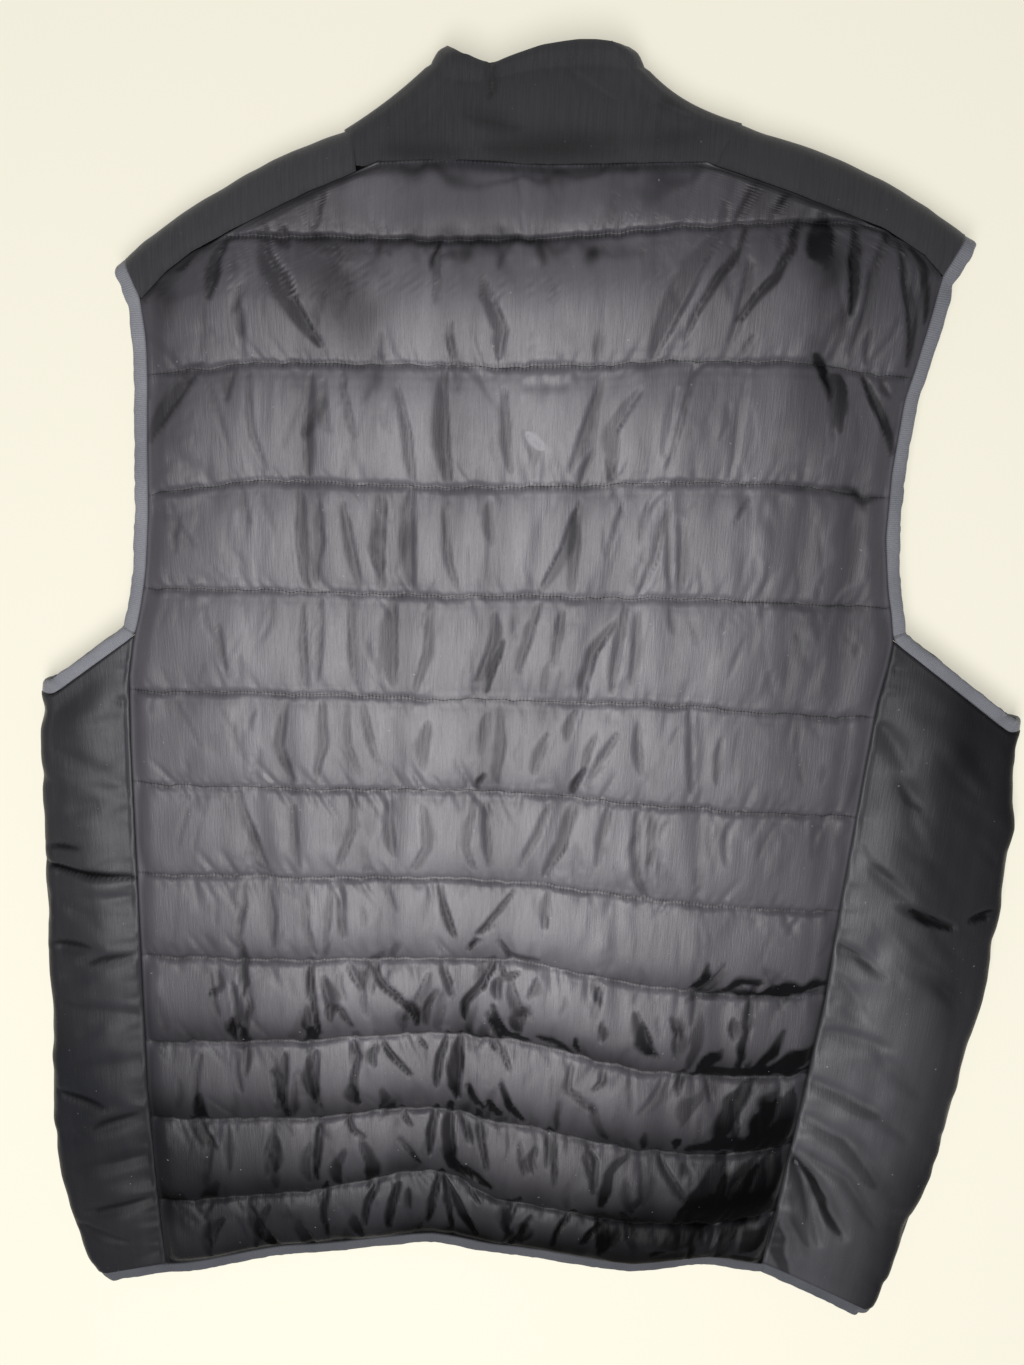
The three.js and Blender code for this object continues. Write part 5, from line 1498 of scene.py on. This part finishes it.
def woven_tape():
    material, tree = new_cloth("zip_tape_weave", 0.75, 0.3, 0.2, 0.5)
    apart = add_node(tree, "ShaderNodeSeparateXYZ", Vector=stretched(tree, (1, 1, 1)))
    lean = maths(tree, "ADD", apart.outputs[0], apart.outputs[1])
    turns = maths(tree, "MULTIPLY", lean, 2 * math.pi / (WEAVE_PITCH * MM))
    rib = spread(tree, maths(tree, "SINE", turns), -1, 1)
    grain = noise(tree, (1800, 1800, 1800), 2)
    colour = blend(tree, rib, (0.014, 0.015, 0.018, 1), (0.034, 0.035, 0.041, 1))
    colour = blend(tree, spread(tree, grain, 0.4, 0.7, 0, 0.3), colour, (0.06, 0.06, 0.068, 1))
    skin = dents(tree, maths(tree, "ADD", rib, grain), 0.1 * MM)
    return set_cloth(material, Base_Color=colour, Normal=skin)


def cut_block(place, size, cuts):
    """A block of its size in mm at its place, with its faces cut across."""
    if bpy.context.object and bpy.context.object.mode != "OBJECT":
        bpy.ops.object.mode_set(mode="OBJECT")
    bpy.ops.object.select_all(action="DESELECT")
    bpy.ops.mesh.primitive_cube_add(size=1, location=np.array(place) * MM, scale=np.array(size) * MM)
    bpy.ops.object.transform_apply(location=True, rotation=True, scale=True)
    bpy.ops.object.mode_set(mode="EDIT")
    bpy.ops.mesh.select_all(action="SELECT")
    bpy.ops.mesh.subdivide(number_cuts=cuts)
    bpy.ops.object.mode_set(mode="OBJECT")
    return bpy.context.object


def bevelled(thing, width, segments):
    bevel = thing.modifiers.new("soft_edge", "BEVEL")
    bevel.width = width * MM
    bevel.segments = segments
    bpy.ops.object.modifier_apply(modifier="soft_edge")


def finish_piece(thing, name, material, body):
    thing.name = name
    bpy.ops.object.transform_apply(location=True, rotation=True, scale=True)
    thing.data.materials.append(material)
    bpy.ops.object.shade_smooth_by_angle(angle=math.radians(40))
    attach(thing, body)


def zip_tape(side, material):
    sign = -1 if side == "left" else 1
    middle = (sign * (TAPE_OUTER + TAPE_INNER) / 2, (COLLAR_FRONT_TOP_Y + TAPE_HEM_Y) / 2, TAPE_MIDDLE)
    tape = cut_block(middle, (TAPE_OUTER - TAPE_INNER, COLLAR_FRONT_TOP_Y - TAPE_HEM_Y, TAPE_THICK), 11)
    inner = sign * TAPE_INNER * MM
    centre = TAPE_MIDDLE * MM
    for vertex in tape.data.vertices:
        cord = abs(vertex.co.x - inner) < 1.3 * MM
        vertex.co.z = centre + (vertex.co.z - centre) * (1.0 if cord else 0.55)
        vertex.co.z += 0.12 * MM * math.sin(vertex.co.y * 160) * (not cord)
    bevelled(tape, 0.2, 2)
    finish_piece(tape, "zip_tape_" + side + "_woven", material, "vest")
    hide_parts("zip_tape_" + side)


tape_weave = woven_tape()
zip_tape("left", tape_weave)
zip_tape("right", tape_weave)


def moulded_plastic():
    material, tree = new_cloth("moulded_teeth", 0.4, 0.5, 0, 0.3)
    grain = noise(tree, (700, 700, 700), 3)
    wear = spread(tree, noise(tree, (160, 90, 160), 2), 0.35, 0.65)
    colour = blend(tree, wear, (0.018, 0.018, 0.022, 1), (0.034, 0.034, 0.04, 1))
    rough = spread(tree, grain, 0.3, 0.7, 0.3, 0.5)
    return set_cloth(material, Base_Color=colour, Roughness=rough, Normal=dents(tree, grain, 0.03 * MM))


def zip_teeth(material):
    """One tooth with a head and a waist, repeated along both tapes."""
    tooth = cut_block((-0.35, TAPE_HEM_Y + 2, TAPE_MIDDLE), (3.3, 1.2, 2.6), 2)
    middle_y = (TAPE_HEM_Y + 2) * MM
    for vertex in tooth.data.vertices:
        head = vertex.co.x > 0
        vertex.co.y = middle_y + (vertex.co.y - middle_y) * (1.25 if head else 0.8)
    bevelled(tooth, 0.18, 1)
    row = tooth.modifiers.new("row", "ARRAY")
    row.use_relative_offset = False
    row.use_constant_offset = True
    row.constant_offset_displace = (0, TOOTH_PITCH * MM, 0)
    row.count = int((SLIDER_Y - 8 - TAPE_HEM_Y) / TOOTH_PITCH)
    bpy.ops.object.modifier_apply(modifier="row")
    finish_piece(tooth, "zip_teeth_left", material, "vest")
    bpy.ops.object.duplicate()
    other = bpy.context.object
    for vertex in other.data.vertices:
        vertex.co.x = -vertex.co.x
        vertex.co.y += TOOTH_PITCH / 2 * MM
    bpy.ops.object.mode_set(mode="EDIT")
    bpy.ops.mesh.select_all(action="SELECT")
    bpy.ops.mesh.normals_make_consistent(inside=False)
    bpy.ops.object.mode_set(mode="OBJECT")
    other.name = "zip_teeth_right"
    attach(other, "vest")


zip_teeth(moulded_plastic())


def enamel():
    """Dark baked enamel on cast metal, rubbed through to bright metal in small spots."""
    material, tree = new_cloth("zip_enamel", 0.35, 0.5, 0, 0.3)
    spots = spread(tree, noise(tree, (600, 600, 600), 4), 0.62, 0.7)
    grain = noise(tree, (1500, 1500, 1500), 2)
    colour = blend(tree, spots, (0.045, 0.045, 0.05, 1), (0.4, 0.4, 0.42, 1))
    metal = spread(tree, spots, 0, 1, 0.75, 1)
    rough = spread(tree, grain, 0.3, 0.7, 0.26, 0.42)
    skin = dents(tree, grain, 0.02 * MM)
    return set_cloth(material, Base_Color=colour, Metallic=metal, Roughness=rough, Normal=skin)


zip_enamel = enamel()
for node_name in ("zip_slider", "pull_tab"):
    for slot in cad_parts[node_name].material_slots:
        slot.material = zip_enamel
